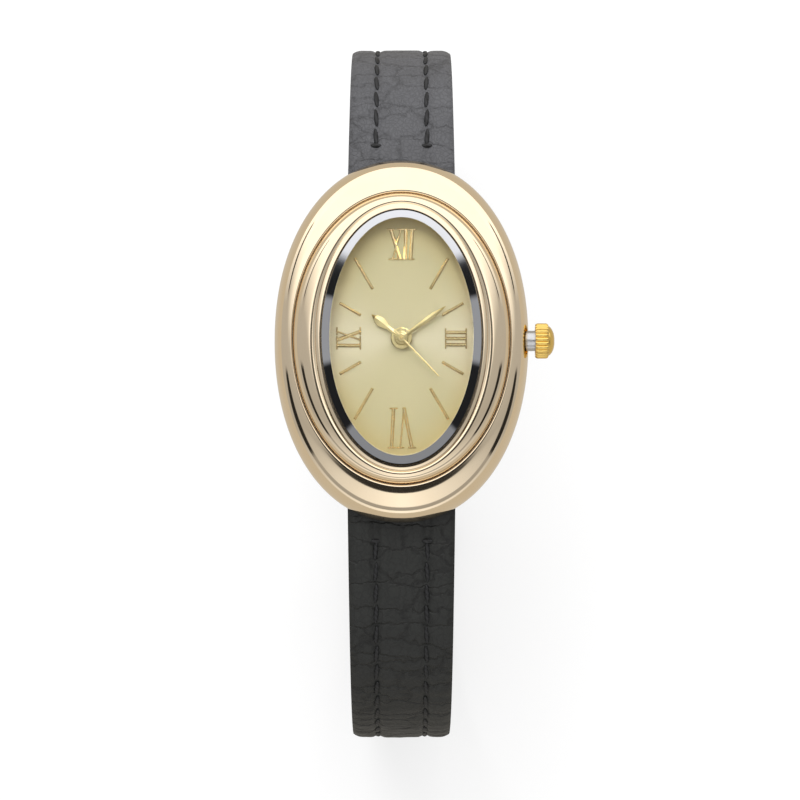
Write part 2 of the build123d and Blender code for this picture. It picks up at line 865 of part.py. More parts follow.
# Spring bars: a tube with a sprung pin in each end
def spring_bar_tube(half_length):
    """A tube along X about the origin, in which two pins slide."""
    tube = cylinder_x(bar_radius, -half_length, half_length, 0, 0)
    return tube - peg_x(bar_pin_radius + bar_pin_fit, -half_length, half_length, 0, 0)


def spring_bar_pin(half_length, gap, side):
    """One pin, most of it in the tube, its nose across the gap and in its hole."""
    pin = peg_x(bar_pin_radius, half_length - bar_pin_inside, half_length + gap + bar_pin_reach, 0, 0)
    return pin if side > 0 else mirror(pin, about=Plane.YZ)


# Strap path in the YZ plane, as arcs from the spring bar to the end
def strap_frames(side, radii, turns):
    """Stations along one half: distance, place and heading, the heading turning towards the wrist."""
    y, z, angle, run = bar_y, bar_height, strap_start_angle, 0
    frames = [(run, y, z, angle)]
    for radius, turn in zip(radii, turns):
        count = ceil(radius * radians(turn) / strap_station)
        for part in range(1, count + 1):
            now = angle + turn * part / count
            py = y + radius * (sin(radians(now)) - sin(radians(angle)))
            pz = z - radius * (cos(radians(angle)) - cos(radians(now)))
            frames.append((run + radius * radians(turn) * part / count, py, pz, now))
        _, y, z, angle = frames[-1]
        run = frames[-1][0]
    return [(distance, side * out, level, heading) for distance, out, level, heading in frames]


def frame_at(frames, distance):
    """The place and heading at a distance along the path, between its stations."""
    for first, last in zip(frames, frames[1:]):
        if last[0] >= distance:
            share = (distance - first[0]) / (last[0] - first[0])
            return tuple(a + (b - a) * share for a, b in zip(first, last))
    return frames[-1]


def strap_plane(side, frame):
    """A plane across the strap: its x along the watch's X, its y outwards from the wrist."""
    _, y, z, heading = frame
    along = (0, side * cos(radians(heading)), -sin(radians(heading)))
    return Plane(origin=(0, y, z), x_dir=(-side, 0, 0), z_dir=along)


def strap_sizes(share):
    width = strap_width + (strap_tip_width - strap_width) * share
    thickness = strap_thickness + (strap_tip_thickness - strap_thickness) * share
    return width / 2, thickness / 2


def leather_section(plane, half_width, half_thick):
    """The outer leather above the lining, its edges pressed down."""
    parting = half_thick * (2 * lining_share - 1)
    shoulder = half_thick - strap_crown
    flat = half_width - strap_edge
    outline = [
        (-half_width, parting), (half_width, parting), (half_width, shoulder), (flat, half_thick),
        (-flat, half_thick), (-half_width, shoulder),
    ]
    return plane * Wire(Polyline(*outline, close=True).edges())


def lining_section(plane, half_width, half_thick):
    parting = half_thick * (2 * lining_share - 1)
    outline = [(-half_width, -half_thick), (half_width, -half_thick), (half_width, parting), (-half_width, parting)]
    return plane * Wire(Polyline(*outline, close=True).edges())


def strap_loft(side, frames, section):
    """Lofts a section through every station of one half, straight between them."""
    length = frames[-1][0]
    wires = []
    for frame in frames:
        half_width, half_thick = strap_sizes(frame[0] / length)
        wires.append(section(strap_plane(side, frame), half_width, half_thick))
    return Solid.make_loft(wires, ruled=True)


def fold(frame, half_width, radius):
    """The turned-over end of the leather round a bar."""
    _, y, z, _ = frame
    return cylinder_x(radius, -half_width, half_width, y, z)


def bar_hole(frame):
    _, y, z, _ = frame
    return cylinder_x(bar_radius + bar_fit, -strap_width, strap_width, y, z)


upper_frames = strap_frames(1, upper_bend_radii, upper_bend_angles)
lower_frames = strap_frames(-1, lower_bend_radii, lower_bend_angles)


def tongue_slot():
    """The slot in the buckle end of the strap in which the tongue's collar turns."""
    end = upper_frames[-1]
    half = tongue_collar_width / 2 + tongue_slot_gap
    depth = tongue_slot_depth
    local = Box(2 * half, 2 * strap_thickness, depth + 2 * fold_radius)
    centre = Pos(0, 0, (2 * fold_radius - depth) / 2)
    return strap_plane(1, end) * (centre * local)


def strap_12_leather():
    body = strap_loft(1, upper_frames, leather_section)
    start_half, _ = strap_sizes(0)
    end_half, end_thick = strap_sizes(1)
    body += fold(upper_frames[0], start_half, fold_radius)
    body += fold(upper_frames[-1], end_half, fold_radius)
    body -= bar_hole(upper_frames[0])
    body -= bar_hole(upper_frames[-1])
    return body - tongue_slot()


def strap_12_lining():
    body = strap_loft(1, upper_frames, lining_section)
    body -= cylinder_x(fold_radius, -strap_width, strap_width, upper_frames[0][1], upper_frames[0][2])
    body -= cylinder_x(fold_radius, -strap_width, strap_width, upper_frames[-1][1], upper_frames[-1][2])
    return body - tongue_slot()


def strap_holes():
    """The punched holes of the long half, each square to the leather where it lies."""
    length = lower_frames[-1][0]
    cuts = []
    for hole in range(hole_count):
        frame = frame_at(lower_frames, length - hole_from_tip - hole * hole_pitch)
        plane = strap_plane(-1, frame)
        across = Plane(origin=plane.origin - plane.y_dir * strap_thickness, x_dir=plane.x_dir, z_dir=plane.y_dir)
        punch = across * RegularPolygon(hole_radius, hole_sides)
        cuts.append(extrude(punch, 2 * strap_thickness, dir=plane.y_dir))
    return cuts


def tip_waste():
    """The two corners that are cut from the long half to leave a rounded point."""
    end = strap_plane(-1, lower_frames[-1])
    half = strap_tip_width / 2
    wide = half + overrun
    corners = []
    for side in (1, -1):
        bulge = (side * half * tip_bulge_share, -tip_point * (1 - tip_bulge_share))
        arc = ThreePointArc((0, 0), bulge, (side * half, -tip_point))
        rest = Polyline(
            (side * half, -tip_point), (side * wide, -tip_point), (side * wide, overrun), (0, overrun), (0, 0)
        )
        corner = make_face([*arc.edges(), *rest.edges()])
        flat = Plane(origin=end.origin - end.y_dir * strap_thickness, x_dir=end.x_dir, z_dir=-end.y_dir)
        corners.append(extrude(flat * corner, -2 * strap_thickness))
    return corners


def strap_6_leather():
    body = strap_loft(-1, lower_frames, leather_section)
    start_half, _ = strap_sizes(0)
    body += fold(lower_frames[0], start_half, fold_radius)
    body -= bar_hole(lower_frames[0])
    for cut in strap_holes() + tip_waste():
        body -= cut
    return body


def strap_6_lining():
    body = strap_loft(-1, lower_frames, lining_section)
    body -= cylinder_x(fold_radius, -strap_width, strap_width, lower_frames[0][1], lower_frames[0][2])
    for cut in strap_holes() + tip_waste():
        body -= cut
    return body


def keeper(back):
    """A leather loop round the strap, with room for the long half inside it."""
    length = upper_frames[-1][0]
    frame = frame_at(upper_frames, length - back)
    half_width, half_thick = strap_sizes(frame[0] / length)
    inner_half = half_width + keeper_gap
    low, high = -half_thick - keeper_gap, half_thick + keeper_gap + keeper_room
    outer = Box(2 * (inner_half + keeper_wall), high - low + 2 * keeper_wall, keeper_width)
    inner = Box(2 * inner_half, high - low, keeper_width)
    ring = Pos(0, (low + high) / 2, 0) * (outer - inner)
    return strap_plane(1, frame) * ring


def buckle_plane():
    return strap_plane(1, upper_frames[-1])


def buckle_frame():
    """A square bow with rounded edges, open at the back where the spring bar closes it."""
    inner = strap_tip_width / 2 + buckle_gap
    outer = inner + buckle_arm_width
    length = buckle_length + buckle_arm_end
    body = Pos(0, 0, buckle_length - length / 2) * Box(2 * outer, buckle_height, length)
    body = fillet(body.edges().filter_by(Axis.Y).group_by(Axis.Z)[-1], buckle_corner)
    reach = 2 * (buckle_length - buckle_front_width)
    window = Box(2 * inner, 2 * buckle_height, reach)
    window = fillet(window.edges().filter_by(Axis.Y).group_by(Axis.Z)[-1], buckle_inner_corner)
    body -= window
    broad = body.faces().sort_by(Axis.Y)[-1]
    body = chamfer(broad.edges(), buckle_round)
    hole_end = inner + bar_pin_reach + bar_pin_fit
    body -= peg_x(bar_pin_radius + bar_pin_fit, -hole_end, hole_end, 0, 0)
    return buckle_plane() * body


def buckle_tongue():
    """A pin whose collar turns on the spring bar and whose point lies on the bow."""
    low = buckle_height / 2 + tongue_rest_gap
    radius = low + tongue_thickness
    half = tongue_collar_width / 2
    length = buckle_length + tongue_overhang
    beam = Pos(0, low + tongue_thickness / 2, length / 2) * Box(tongue_width, tongue_thickness, length)
    beam = fillet(beam.edges().filter_by(Axis.Y).group_by(Axis.Z)[-1], tongue_width * tongue_tip_share)
    body = cylinder_x(radius, -half, half, 0, 0) + beam
    return buckle_plane() * (body - cylinder_x(bar_radius + bar_fit, -half, half, 0, 0))


def spring_bars():
    """The two bars that hold the strap to the case and the one that holds the buckle."""
    lug_half = strap_width / 2 - bar_end_gap
    lug_gap = bar_end_gap + pocket_side_gap
    tip_half = strap_tip_width / 2 - bar_end_gap
    tip_gap = bar_end_gap + buckle_gap
    _, buckle_y, buckle_z, _ = upper_frames[-1]
    places = {
        "spring_bar_12": (bar_y, bar_height, lug_half, lug_gap),
        "spring_bar_6": (-bar_y, bar_height, lug_half, lug_gap),
        "buckle_spring_bar": (buckle_y, buckle_z, tip_half, tip_gap),
    }
    nodes = {}
    for name, (y, z, half_length, gap) in places.items():
        nodes[name + "_tube"] = Pos(0, y, z) * spring_bar_tube(half_length)
        nodes[name + "_left_pin"] = Pos(0, y, z) * spring_bar_pin(half_length, gap, -1)
        nodes[name + "_right_pin"] = Pos(0, y, z) * spring_bar_pin(half_length, gap, 1)
    return nodes


def main():
    os.makedirs("parts", exist_ok=True)
    nodes = {
        "case_body": case_body(),
        "bezel": bezel(),
        "crystal": crystal(),
        "case_back": case_back(),
        "dial": dial(),
        "dial_markers": Compound(dial_markers()),
        "dial_numerals": Compound(dial_numerals()),
        "hour_hand": hour_hand(),
        "minute_hand": minute_hand(),
        "second_hand": second_hand(),
        "second_wheel": second_wheel(),
        "third_wheel": third_wheel(),
        "centre_wheel": centre_wheel(),
        "minute_wheel": minute_wheel(),
        "hour_wheel": hour_wheel(),
        "step_wheel": step_wheel(),
        "rotor": rotor(),
        "main_plate": main_plate(),
        "train_bridge": train_bridge(),
        "movement_screws": Compound(movement_screws()),
        "movement_holder": movement_holder(),
        "battery": battery(),
        "battery_clamp": battery_clamp(),
        "coil": coil(),
        "stator": stator(),
        "circuit_board": circuit_board(),
        "quartz_can": quartz_can(),
        "crown": crown(),
        "crown_tube": crown_tube(),
        "stem": stem(),
        "clutch_pinion": clutch_pinion(),
        "setting_lever": setting_lever(),
        "strap_12_leather": strap_12_leather(),
        "strap_12_lining": strap_12_lining(),
        "strap_6_leather": strap_6_leather(),
        "strap_6_lining": strap_6_lining(),
        "fixed_keeper": keeper(fixed_keeper_back),
        "free_keeper": keeper(free_keeper_back),
        "buckle_frame": buckle_frame(),
        "buckle_tongue": buckle_tongue(),
        **spring_bars(),
    }
    for name, shape in nodes.items():
        export_step(shape, os.path.join("parts", name + ".step"))
        print(name)


main()
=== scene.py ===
# %% [markdown]
# # An oval ladies' wristwatch, dressed in Blender
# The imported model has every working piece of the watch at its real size: case, glass, dial, hands,
# gear train, crown, strap and buckle. This file loads it and gives it its looks. Pieces whose plain
# solids are too angular for polished metal or soft leather are modelled again here, in the same place,
# and every other piece keeps its shape and gets a finish. All lengths are metres once a value is
# multiplied by `mm`.

import json
from math import ceil, cos, degrees, pi, radians, sin

import bmesh
import bpy
from mathutils import Matrix, Vector, noise


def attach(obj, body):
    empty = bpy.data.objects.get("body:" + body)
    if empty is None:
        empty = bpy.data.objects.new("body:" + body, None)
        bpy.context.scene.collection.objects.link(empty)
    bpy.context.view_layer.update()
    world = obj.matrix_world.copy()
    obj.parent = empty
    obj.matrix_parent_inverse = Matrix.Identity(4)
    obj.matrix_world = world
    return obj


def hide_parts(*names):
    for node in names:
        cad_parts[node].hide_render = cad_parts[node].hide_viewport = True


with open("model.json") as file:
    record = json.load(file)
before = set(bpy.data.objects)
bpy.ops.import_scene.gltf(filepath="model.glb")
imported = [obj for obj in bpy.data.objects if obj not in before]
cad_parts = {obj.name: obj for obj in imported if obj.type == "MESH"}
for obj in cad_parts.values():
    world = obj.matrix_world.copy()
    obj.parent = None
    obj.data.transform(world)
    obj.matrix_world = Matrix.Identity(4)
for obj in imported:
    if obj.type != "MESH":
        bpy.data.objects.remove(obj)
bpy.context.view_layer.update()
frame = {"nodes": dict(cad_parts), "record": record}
mm = 0.001

# %% [markdown]
# ## The camera
# The photograph looks almost straight down on the dial, tipped about five degrees towards six
# o'clock, from about 45 centimetres. The long lens keeps the case free of perspective. The aim lies a
# little below the middle of the dial, because the watch sits above the middle of the picture.

# %% Camera
picture_side = 800
focal_pixels = 4725
camera_distance = 450 * mm
camera_elevation = 85
aim = Vector((-0.14, -5.65, 3.2)) * mm

camera_data = bpy.data.cameras.new("photograph_camera")
camera_data.sensor_width = 36
camera_data.lens = camera_data.sensor_width * focal_pixels / picture_side
camera_data.clip_start, camera_data.clip_end = 0.01, 10
camera = bpy.data.objects.new("photograph_camera", camera_data)
bpy.context.scene.collection.objects.link(camera)
back = Vector((0, -cos(radians(camera_elevation)), sin(radians(camera_elevation))))
camera.location = aim + back * camera_distance
camera.rotation_mode = "QUATERNION"
camera.rotation_quaternion = (-back).to_track_quat("-Z", "Y")
bpy.context.scene.camera = camera
print("lens", round(camera_data.lens, 1), "mm")

# %% [markdown]
# ## Writing finishes as sums
# A finish is a network of nodes, and sums such as `0.4 + 0.2 * pores` are easier to read than
# wires. `Flow` wraps one output and turns Python's operators into Math nodes. `Finish` holds a
# material, and its `node` method is the only way that any other node is added: it takes the node's
# type, its settings and what feeds its sockets.

# %% Shader helpers
class Flow:
    """One output of a shader network, on which sums can be written."""

    def __init__(self, finish, socket):
        self.finish, self.socket = finish, socket

    def sum(self, operation, first, second=0.0):
        return self.finish.node("ShaderNodeMath", {"operation": operation}, {0: first, 1: second})

    def __add__(self, other):
        return self.sum("ADD", self, other)

    __radd__ = __add__

    def __mul__(self, other):
        return self.sum("MULTIPLY", self, other)

    __rmul__ = __mul__

    def __truediv__(self, other):
        return self.sum("DIVIDE", self, other)

    def __pow__(self, other):
        return self.sum("POWER", self, other)

    def __abs__(self):
        return self.sum("ABSOLUTE", self)


class Finish:
    """A material whose nodes are added one at a time."""

    def __init__(self, name, tree=None):
        self.material = None
        if tree is None:
            self.material = bpy.data.materials.new(name)
            self.material.use_nodes = True
            tree = self.material.node_tree
        self.tree = tree
        self.shader = self.tree.nodes.get("Principled BSDF")

    def node(self, kind, settings=None, feeds=None, output=0):
        """Adds a node, sets it up, feeds its sockets with numbers, colours or flows."""
        made = self.tree.nodes.new(kind)
        for name, value in (settings or {}).items():
            if name == "stops":
                fill_ramp(made.color_ramp, value)
            else:
                setattr(made, name, value)
        for socket, value in (feeds or {}).items():
            self.feed(made.inputs[socket], value)
        return Flow(self, made.outputs[output])

    def feed(self, socket, value):
        if isinstance(value, Flow):
            self.tree.links.new(value.socket, socket)
        else:
            socket.default_value = value

    def set(self, **sockets):
        """Sets the shader's own sockets, named with underscores for spaces."""
        for name, value in sockets.items():
            self.feed(self.shader.inputs[name.replace("_", " ")], value)
        return self

    def place(self, scale=(1, 1, 1), uv=None):
        """Where a point lies on the piece, in metres, or on its own map, each way scaled."""
        if uv:
            point = self.node("ShaderNodeUVMap", {"uv_map": uv})
        else:
            point = self.node("ShaderNodeTexCoord", output="Object")
        return self.node("ShaderNodeMapping", None, {"Vector": point, "Scale": scale})

    def noise(self, vector, scale, detail=3.0, roughness=0.5):
        return self.node(
            "ShaderNodeTexNoise", None,
            {"Vector": vector, "Scale": scale, "Detail": detail, "Roughness": roughness},
        )

    def ramp(self, factor, stops):
        return self.node("ShaderNodeValToRGB", {"stops": stops}, {"Fac": factor})

    def blend(self, factor, first, second):
        """A colour between two others."""
        return self.node(
            "ShaderNodeMix", {"data_type": "RGBA"}, {0: factor, 6: first, 7: second}, output=2
        )

    def bump(self, height, depth, strength=1.0):
        made = self.node(
            "ShaderNodeBump", None, {"Height": height, "Distance": depth, "Strength": strength}
        )
        return self.set(Normal=made)


def fill_ramp(ramp, stops):
    while len(ramp.elements) > 1:
        ramp.elements.remove(ramp.elements[-1])
    ramp.elements[0].position, ramp.elements[0].color = stops[0][0], (*stops[0][1], 1)
    for place, rgb in stops[1:]:
        ramp.elements.new(place).color = (*rgb, 1)


def colour(red, green, blue):
    """A colour as it is read from a screen, 0 to 255, made linear for the shader."""
    return tuple(((c / 255 + 0.055) / 1.055) ** 2.4 if c > 10 else c / 3294 for c in (red, green, blue))


def solid(rgb):
    return (*rgb, 1)


# %% [markdown]
# ## Polished and brushed metals
# The case is plated in a warm rose gold and polished, so its colour is almost all reflection. Very
# faint, wide noise in its roughness stands for handling marks. The hands, markers and crown are a
# yellower gold. Hidden steel pieces have fine turning lines, and the movement's plates a soft grain.

# %% Metal finishes
turning_depth = 0.004 * mm


def polished(name, rgb, rough, haze=0.05, warm=None):
    """A mirror plating with faint smears, and a second tint where the plating is thicker."""
    made = Finish(name)
    smear = made.noise(made.place(), 260.0, 4.0, 0.6)
    tint = made.blend(smear, solid(rgb), solid(warm or rgb))
    return made.set(Base_Color=tint, Metallic=1.0, Roughness=rough + haze * smear)


def brushed(name, rgb, rough, scale=(900, 30, 900)):
    """Metal with fine parallel lines."""
    made = Finish(name)
    lines = made.noise(made.place(scale), 3.0, 2.0, 0.7)
    tint = made.blend(lines, solid(rgb), solid(tuple(c * 0.82 for c in rgb)))
    made.set(Base_Color=tint, Metallic=1.0, Roughness=rough + 0.15 * lines)
    return made.bump(lines, turning_depth)


rose_gold = polished("rose_gold", colour(243, 226, 198), 0.045, 0.05, colour(241, 219, 186))
yellow_gold = polished("yellow_gold", colour(240, 205, 120), 0.1, 0.08, colour(232, 196, 108))
pale_gold = polished("pale_gold", colour(238, 224, 170), 0.2, 0.1, colour(228, 210, 150))
numeral_gold = polished("numeral_gold", colour(240, 224, 180), 0.2, 0.08, colour(230, 210, 158))
steel = brushed("steel", colour(205, 205, 206), 0.22)
plate_brass = brushed("plate_brass", colour(214, 190, 132), 0.3, (40, 1200, 40))
iron = brushed("iron", colour(150, 150, 155), 0.35, (1200, 60, 60))
print("metals ready")

# %% [markdown]
# ## The dial's satin champagne
# The dial is struck with fine lines from its centre and lacquered in a greenish champagne that turns
# yellower towards the edge. The lines are noise on the bearing of each point, so they don't change
# along the radius. The fan of light that such lines throw is painted into the colour as a painted
# sheen, brightest towards three and nine.

# %% Dial finish
dial_edge_x, dial_edge_y = 7.0 * mm, 11.6 * mm
dial_rays = 46.0
pipe_radius = 0.1 * mm


def satin_dial():
    made = Finish("champagne_dial")
    split = made.node("ShaderNodeSeparateXYZ", None, {0: made.place()})
    across = Flow(made, split.socket.node.outputs["X"])
    along = Flow(made, split.socket.node.outputs["Y"])
    bearing = across.sum("ARCTAN2", across, along)
    ray_place = made.node("ShaderNodeCombineXYZ", None, {0: bearing * dial_rays, 1: 0.0, 2: 0.0})
    rays = made.noise(ray_place, 3.0, 3.0, 0.7)
    rim = (across / dial_edge_x) ** 2.0 + (along / dial_edge_y) ** 2.0
    base = made.ramp(rim, [
        (0.0, colour(212, 203, 157)), (0.55, colour(207, 197, 147)), (1.0, colour(212, 191, 122)),
    ])
    reach = (across ** 2.0 + along ** 2.0) ** 0.5 + pipe_radius
    # Painted sheen: a pale fan towards three and nine stands in for light thrown off the struck lines
    painted_fan_sheen = (abs(across) / reach) ** 5.0
    shine = made.blend(rays * 0.25 + painted_fan_sheen * 0.6, base, solid(colour(244, 236, 206)))
    made.set(Base_Color=shine, Metallic=0.35, Roughness=0.38 + 0.1 * rays)
    return made


champagne = satin_dial()
print("dial finish ready")

# %% [markdown]
# ## Black grained leather
# The strap is calf leather with a printed pebble grain: closed cells about 0.4 millimetres wide,
# with finer pores in them, and long cross creases where it has been bent. The pattern lies on the
# strap's own map, whose two directions are metres across and along, so it follows every bend. The
# two halves are lighter and darker copies of one leather: painted light on the short half, which
# faces the lamps, and painted shade on the long half, which lies away from them.

# %% Leather finishes
def grained(name, rgb, worn, cell=0.4, pebbles=0.45, crease=0.35, gloss=0.5, uv="strap_map"):
    """Leather on the strap's map, or on plain object coordinates where uv is None."""
    made = Finish(name)
    place = made.place((1, 1, 1), uv)
    warp = made.node(
        "ShaderNodeVectorMath", {"operation": "MULTIPLY_ADD"},
        {0: made.node("ShaderNodeTexNoise", None, {"Vector": place, "Scale": 900.0}, output="Color"),
         1: (0.0011,) * 3, 2: place},
    )
    cells = made.node(
        "ShaderNodeTexVoronoi", {"feature": "DISTANCE_TO_EDGE"},
        {"Vector": warp, "Scale": 1 / (cell * mm)},
    )
    wide = made.node("ShaderNodeMapping", None, {"Vector": warp, "Scale": (0.32, 1.0, 1.0)})
    folds = made.node(
        "ShaderNodeTexVoronoi", {"feature": "DISTANCE_TO_EDGE"}, {"Vector": wide, "Scale": 520.0}
    )
    pores = made.noise(place, 5200.0, 3.0, 0.65)
    patches = made.noise(place, 240.0, 2.0, 0.5)
    pebble = made.ramp(cells, [(0.0, (0, 0, 0)), (0.12, (0.75,) * 3), (0.35, (1, 1, 1))])
    fold = made.ramp(folds, [(0.0, (0, 0, 0)), (0.07, (1, 1, 1))])
    height = pebbles * pebble * (0.4 + 0.6 * patches) + crease * fold + 0.3 * pores
    tint = made.blend(pebble * 0.25 + 0.35 * fold + 0.4 * patches, solid(rgb), solid(worn))
    made.set(Base_Color=tint, Roughness=0.42 + 0.2 * pores)
    made.set(Specular_IOR_Level=gloss)
    return made.bump(height, 0.09 * mm, 0.85)


# The short half's copy is lighter: painted light where it faces the lamps
black_leather = grained("black_leather", colour(32, 32, 34), colour(78, 78, 81))
# The long half's copy is darker: painted shade where it lies away from the lamps
creased_leather = grained(
    "creased_leather", colour(7, 7, 7), colour(38, 39, 37), cell=0.8, pebbles=0.3, crease=1.0,
    gloss=0.35,
)
lining_leather = grained(
    "lining_leather", colour(70, 52, 38), colour(96, 74, 55), pebbles=0.5, crease=0.1
)
keeper_leather = grained(
    "keeper_leather", colour(24, 24, 25), colour(58, 58, 60), pebbles=0.5, crease=0.1, uv=None
)
print("leather ready")

# %% [markdown]
# ## Thread, glass and the pieces inside
# The stitching is waxed black thread with a slight twist. The glass is clear mineral glass. Inside
# are moulded plastic, an enamelled coil, a lacquered circuit board and a nickel cell.

# %% Remaining finishes
def thread():
    made = Finish("black_thread")
    twist = made.node(
        "ShaderNodeTexWave", {"wave_type": "BANDS", "bands_direction": "DIAGONAL"},
        {"Vector": made.place(), "Scale": 900.0, "Distortion": 1.0},
    )
    tint = made.blend(twist, solid(colour(8, 8, 9)), solid(colour(26, 26, 28)))
    made.set(Base_Color=tint, Roughness=0.6)
    return made.bump(twist, 0.02 * mm)


def clear_glass():
    made = Finish("mineral_glass")
    film = made.noise(made.place(), 300.0, 2.0, 0.5)
    made.set(Base_Color=solid((1, 1, 1)), Roughness=0.004 * film)
    made.set(Transmission_Weight=1.0, IOR=1.5)
    return made


def moulded(name, rgb, rough):
    made = Finish(name)
    grain = made.noise(made.place(), 2600.0, 3.0, 0.6)
    tint = made.blend(grain, solid(rgb), solid(tuple(c * 0.85 for c in rgb)))
    made.set(Base_Color=tint, Roughness=rough + 0.1 * grain)
    return made.bump(grain, 0.01 * mm)


def wound_wire():
    made = Finish("coil_wire")
    turns = made.node(
        "ShaderNodeTexWave", {"wave_type": "BANDS", "bands_direction": "X"},
        {"Vector": made.place(), "Scale": 2600.0},
    )
    tint = made.blend(turns, solid(colour(120, 52, 24)), solid(colour(196, 104, 58)))
    made.set(Base_Color=tint, Metallic=0.7, Roughness=0.35)
    return made.bump(turns, 0.03 * mm)


black_thread = thread()
mineral_glass = clear_glass()
white_plastic = moulded("white_plastic", colour(228, 228, 224), 0.45)
board_lacquer = moulded("board_lacquer", colour(38, 92, 58), 0.3)
coil_wire = wound_wire()
print("other finishes ready")

# %% [markdown]
# ## Finishes for the pieces that keep their shapes
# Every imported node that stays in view, or that shows when the watch is opened, gets its finish in its
# material slot.

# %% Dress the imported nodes
node_finishes = {
    "dial": champagne,
    "main_plate": plate_brass, "train_bridge": plate_brass,
    "hour_wheel": plate_brass, "centre_wheel": plate_brass, "second_wheel": plate_brass,
    "third_wheel": plate_brass, "minute_wheel": plate_brass, "step_wheel": plate_brass,
    "rotor": iron, "stator": iron, "coil": coil_wire,
    "movement_holder": white_plastic, "circuit_board": board_lacquer,
    "crown_tube": steel, "stem": steel, "clutch_pinion": steel, "setting_lever": steel,
    "movement_screws": steel, "battery": steel, "battery_clamp": steel, "quartz_can": steel,
}
for node in frame["nodes"]:
    if "spring_bar" in node:
        node_finishes[node] = steel


def dress(thing, finish):
    thing.data.materials.clear()
    thing.data.materials.append(finish.material)


for node, finish in node_finishes.items():
    dress(bpy.data.objects[node], finish)
print("dressed", len(node_finishes), "packed nodes")

# %% [markdown]
# ## Making a piece from a bmesh
# Each new piece is built in a bmesh, its faces are turned outwards, and sharp edges are kept sharp
# while the rest is shaded smooth. It then rides on the body that carries it, and the imported node
# it stands for is hidden.

# %% Finish a mesh as a piece
body_nodes = frame["record"]["behaviour"]["bodies"]
node_body = {node: body for body, nodes in body_nodes.items() for node in nodes}


def make_piece(name, bm, finish, body, stands_for=(), sharp=35, flats=False):
    """Turns a bmesh into a named piece that rides on a body; flats keep big faces evenly shaded."""
    bmesh.ops.remove_doubles(bm, verts=bm.verts, dist=0.2e-6)
    bmesh.ops.recalc_face_normals(bm, faces=bm.faces)
    for face in bm.faces:
        face.smooth = True
    for edge in bm.edges:
        if len(edge.link_faces) == 2 and degrees(edge.calc_face_angle(0)) > sharp:
            edge.smooth = False
    mesh = bpy.data.meshes.new(name)
    bm.to_mesh(mesh)
    bm.free()
    thing = bpy.data.objects.new(name, mesh)
    bpy.context.scene.collection.objects.link(thing)
    mesh.materials.append(finish.material)
    if flats:
        thing.modifiers.new("even_shading", "WEIGHTED_NORMAL").keep_sharp = True
    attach(thing, body)
    if stands_for:
        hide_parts(*stands_for)
    print(name, len(mesh.polygons), "faces")
    return thing


# %% [markdown]
# ## Tools for the bench
# A few steps come back in almost every piece: a block of a given size, a rod, a bevel along some
# edges, and an outline extruded by one more step. `shape_by` cuts a closed mesh out of a piece or
# joins it on. Its cutter gets the piece's own map, so the leather keeps its pattern.

# %% Bench tools
def block_of(x, y, z):
    """A block round the origin, in millimetres."""
    bm = bmesh.new()
    bmesh.ops.create_cube(bm, size=1)
    bmesh.ops.transform(bm, matrix=Matrix.Diagonal((x * mm, y * mm, z * mm, 1)), verts=bm.verts)
    return bm


def rod(matrix, radius, length, segments=40):
    """A cylinder along a matrix's own x, in millimetres."""
    bm = bmesh.new()
    bmesh.ops.create_cone(
        bm, cap_ends=True, segments=segments, radius1=radius * mm, radius2=radius * mm,
        depth=length * mm, matrix=matrix @ Matrix.Rotation(pi / 2, 4, "Y"),
    )
    return bm


def moved(bm, matrix):
    bmesh.ops.transform(bm, matrix=matrix, verts=bm.verts)
    return bm


def bevel(bm, edges, width, segments):
    """Rounds edges off by a width in millimetres."""
    bmesh.ops.bevel(
        bm, geom=edges, offset=width * mm, offset_type="OFFSET", affect="EDGES", segments=segments,
        profile=0.5, material=-1, clamp_overlap=True,
    )


def ring_of_edges(bm, verts):
    return [bm.edges.new((verts[k - 1], verts[k])) for k in range(len(verts))]


def extended(bm, edges):
    """Extrudes a row of edges once and gives the new points and the new row."""
    made = bmesh.ops.extrude_edge_only(bm, edges=edges)["geom"]
    verts = [g for g in made if isinstance(g, bmesh.types.BMVert)]
    fresh = set(verts)
    return verts, [g for g in made if isinstance(g, bmesh.types.BMEdge) and set(g.verts) <= fresh]


def shape_by(thing, name, bm, operation="DIFFERENCE"):
    """Cuts a closed mesh out of a piece, or joins it on, with the modifier applied at once."""
    for uv_map in thing.data.uv_layers:
        bm.loops.layers.uv.new(uv_map.name)
    bmesh.ops.recalc_face_normals(bm, faces=bm.faces)
    mesh = bpy.data.meshes.new(name)
    bm.to_mesh(mesh)
    bm.free()
    cutter = bpy.data.objects.new(name, mesh)
    bpy.context.scene.collection.objects.link(cutter)
    modifier = thing.modifiers.new(name, "BOOLEAN")
    modifier.operation, modifier.solver, modifier.object = operation, "EXACT", cutter
    bpy.context.view_layer.update()
    evaluated = thing.evaluated_get(bpy.context.evaluated_depsgraph_get())
    fresh = bpy.data.meshes.new_from_object(evaluated)
    old = thing.data
    thing.modifiers.clear()
    thing.data = fresh
    bpy.data.objects.remove(cutter)
    bpy.data.meshes.remove(old)


def cut_box(thing, name, low, high):
    """Cuts a box between two corners out of a piece."""
    low, high = Vector(low), Vector(high)
    middle = Matrix.Translation((low + high) / 2 * mm)
    shape_by(thing, name, moved(block_of(*(high - low)), middle))


print("bench tools ready")

# %% [markdown]
# ## Ovals
# Case, bezel and glass are all ovals. The glass is an ellipse, and the case grows a little fuller
# than one towards its widest line. A unit circle from `create_circle` is moved onto the oval, and
# each new ring is extruded from the last one and moved in its turn. Every vertex remembers its
# bearing in its own layer, so a ring can be reshaped at any time. Between the few named rings a
# smooth curve fills in the others, because polished metal shows every flat.

# %% Oval skins
oval_segments = 216
oval_tallness = 1.42
walk_steps = 7200


def oval_point(bearing, half_width, half_length, height, fullness=0.0):
    c, s = cos(bearing), sin(bearing)
    x = abs(c) ** (2 / (2 + fullness)) * (1 if c >= 0 else -1)
    y = abs(s) ** (2 / (2 + fullness)) * (1 if s >= 0 else -1)
    return Vector((x * half_width, y * half_length, height)) * mm


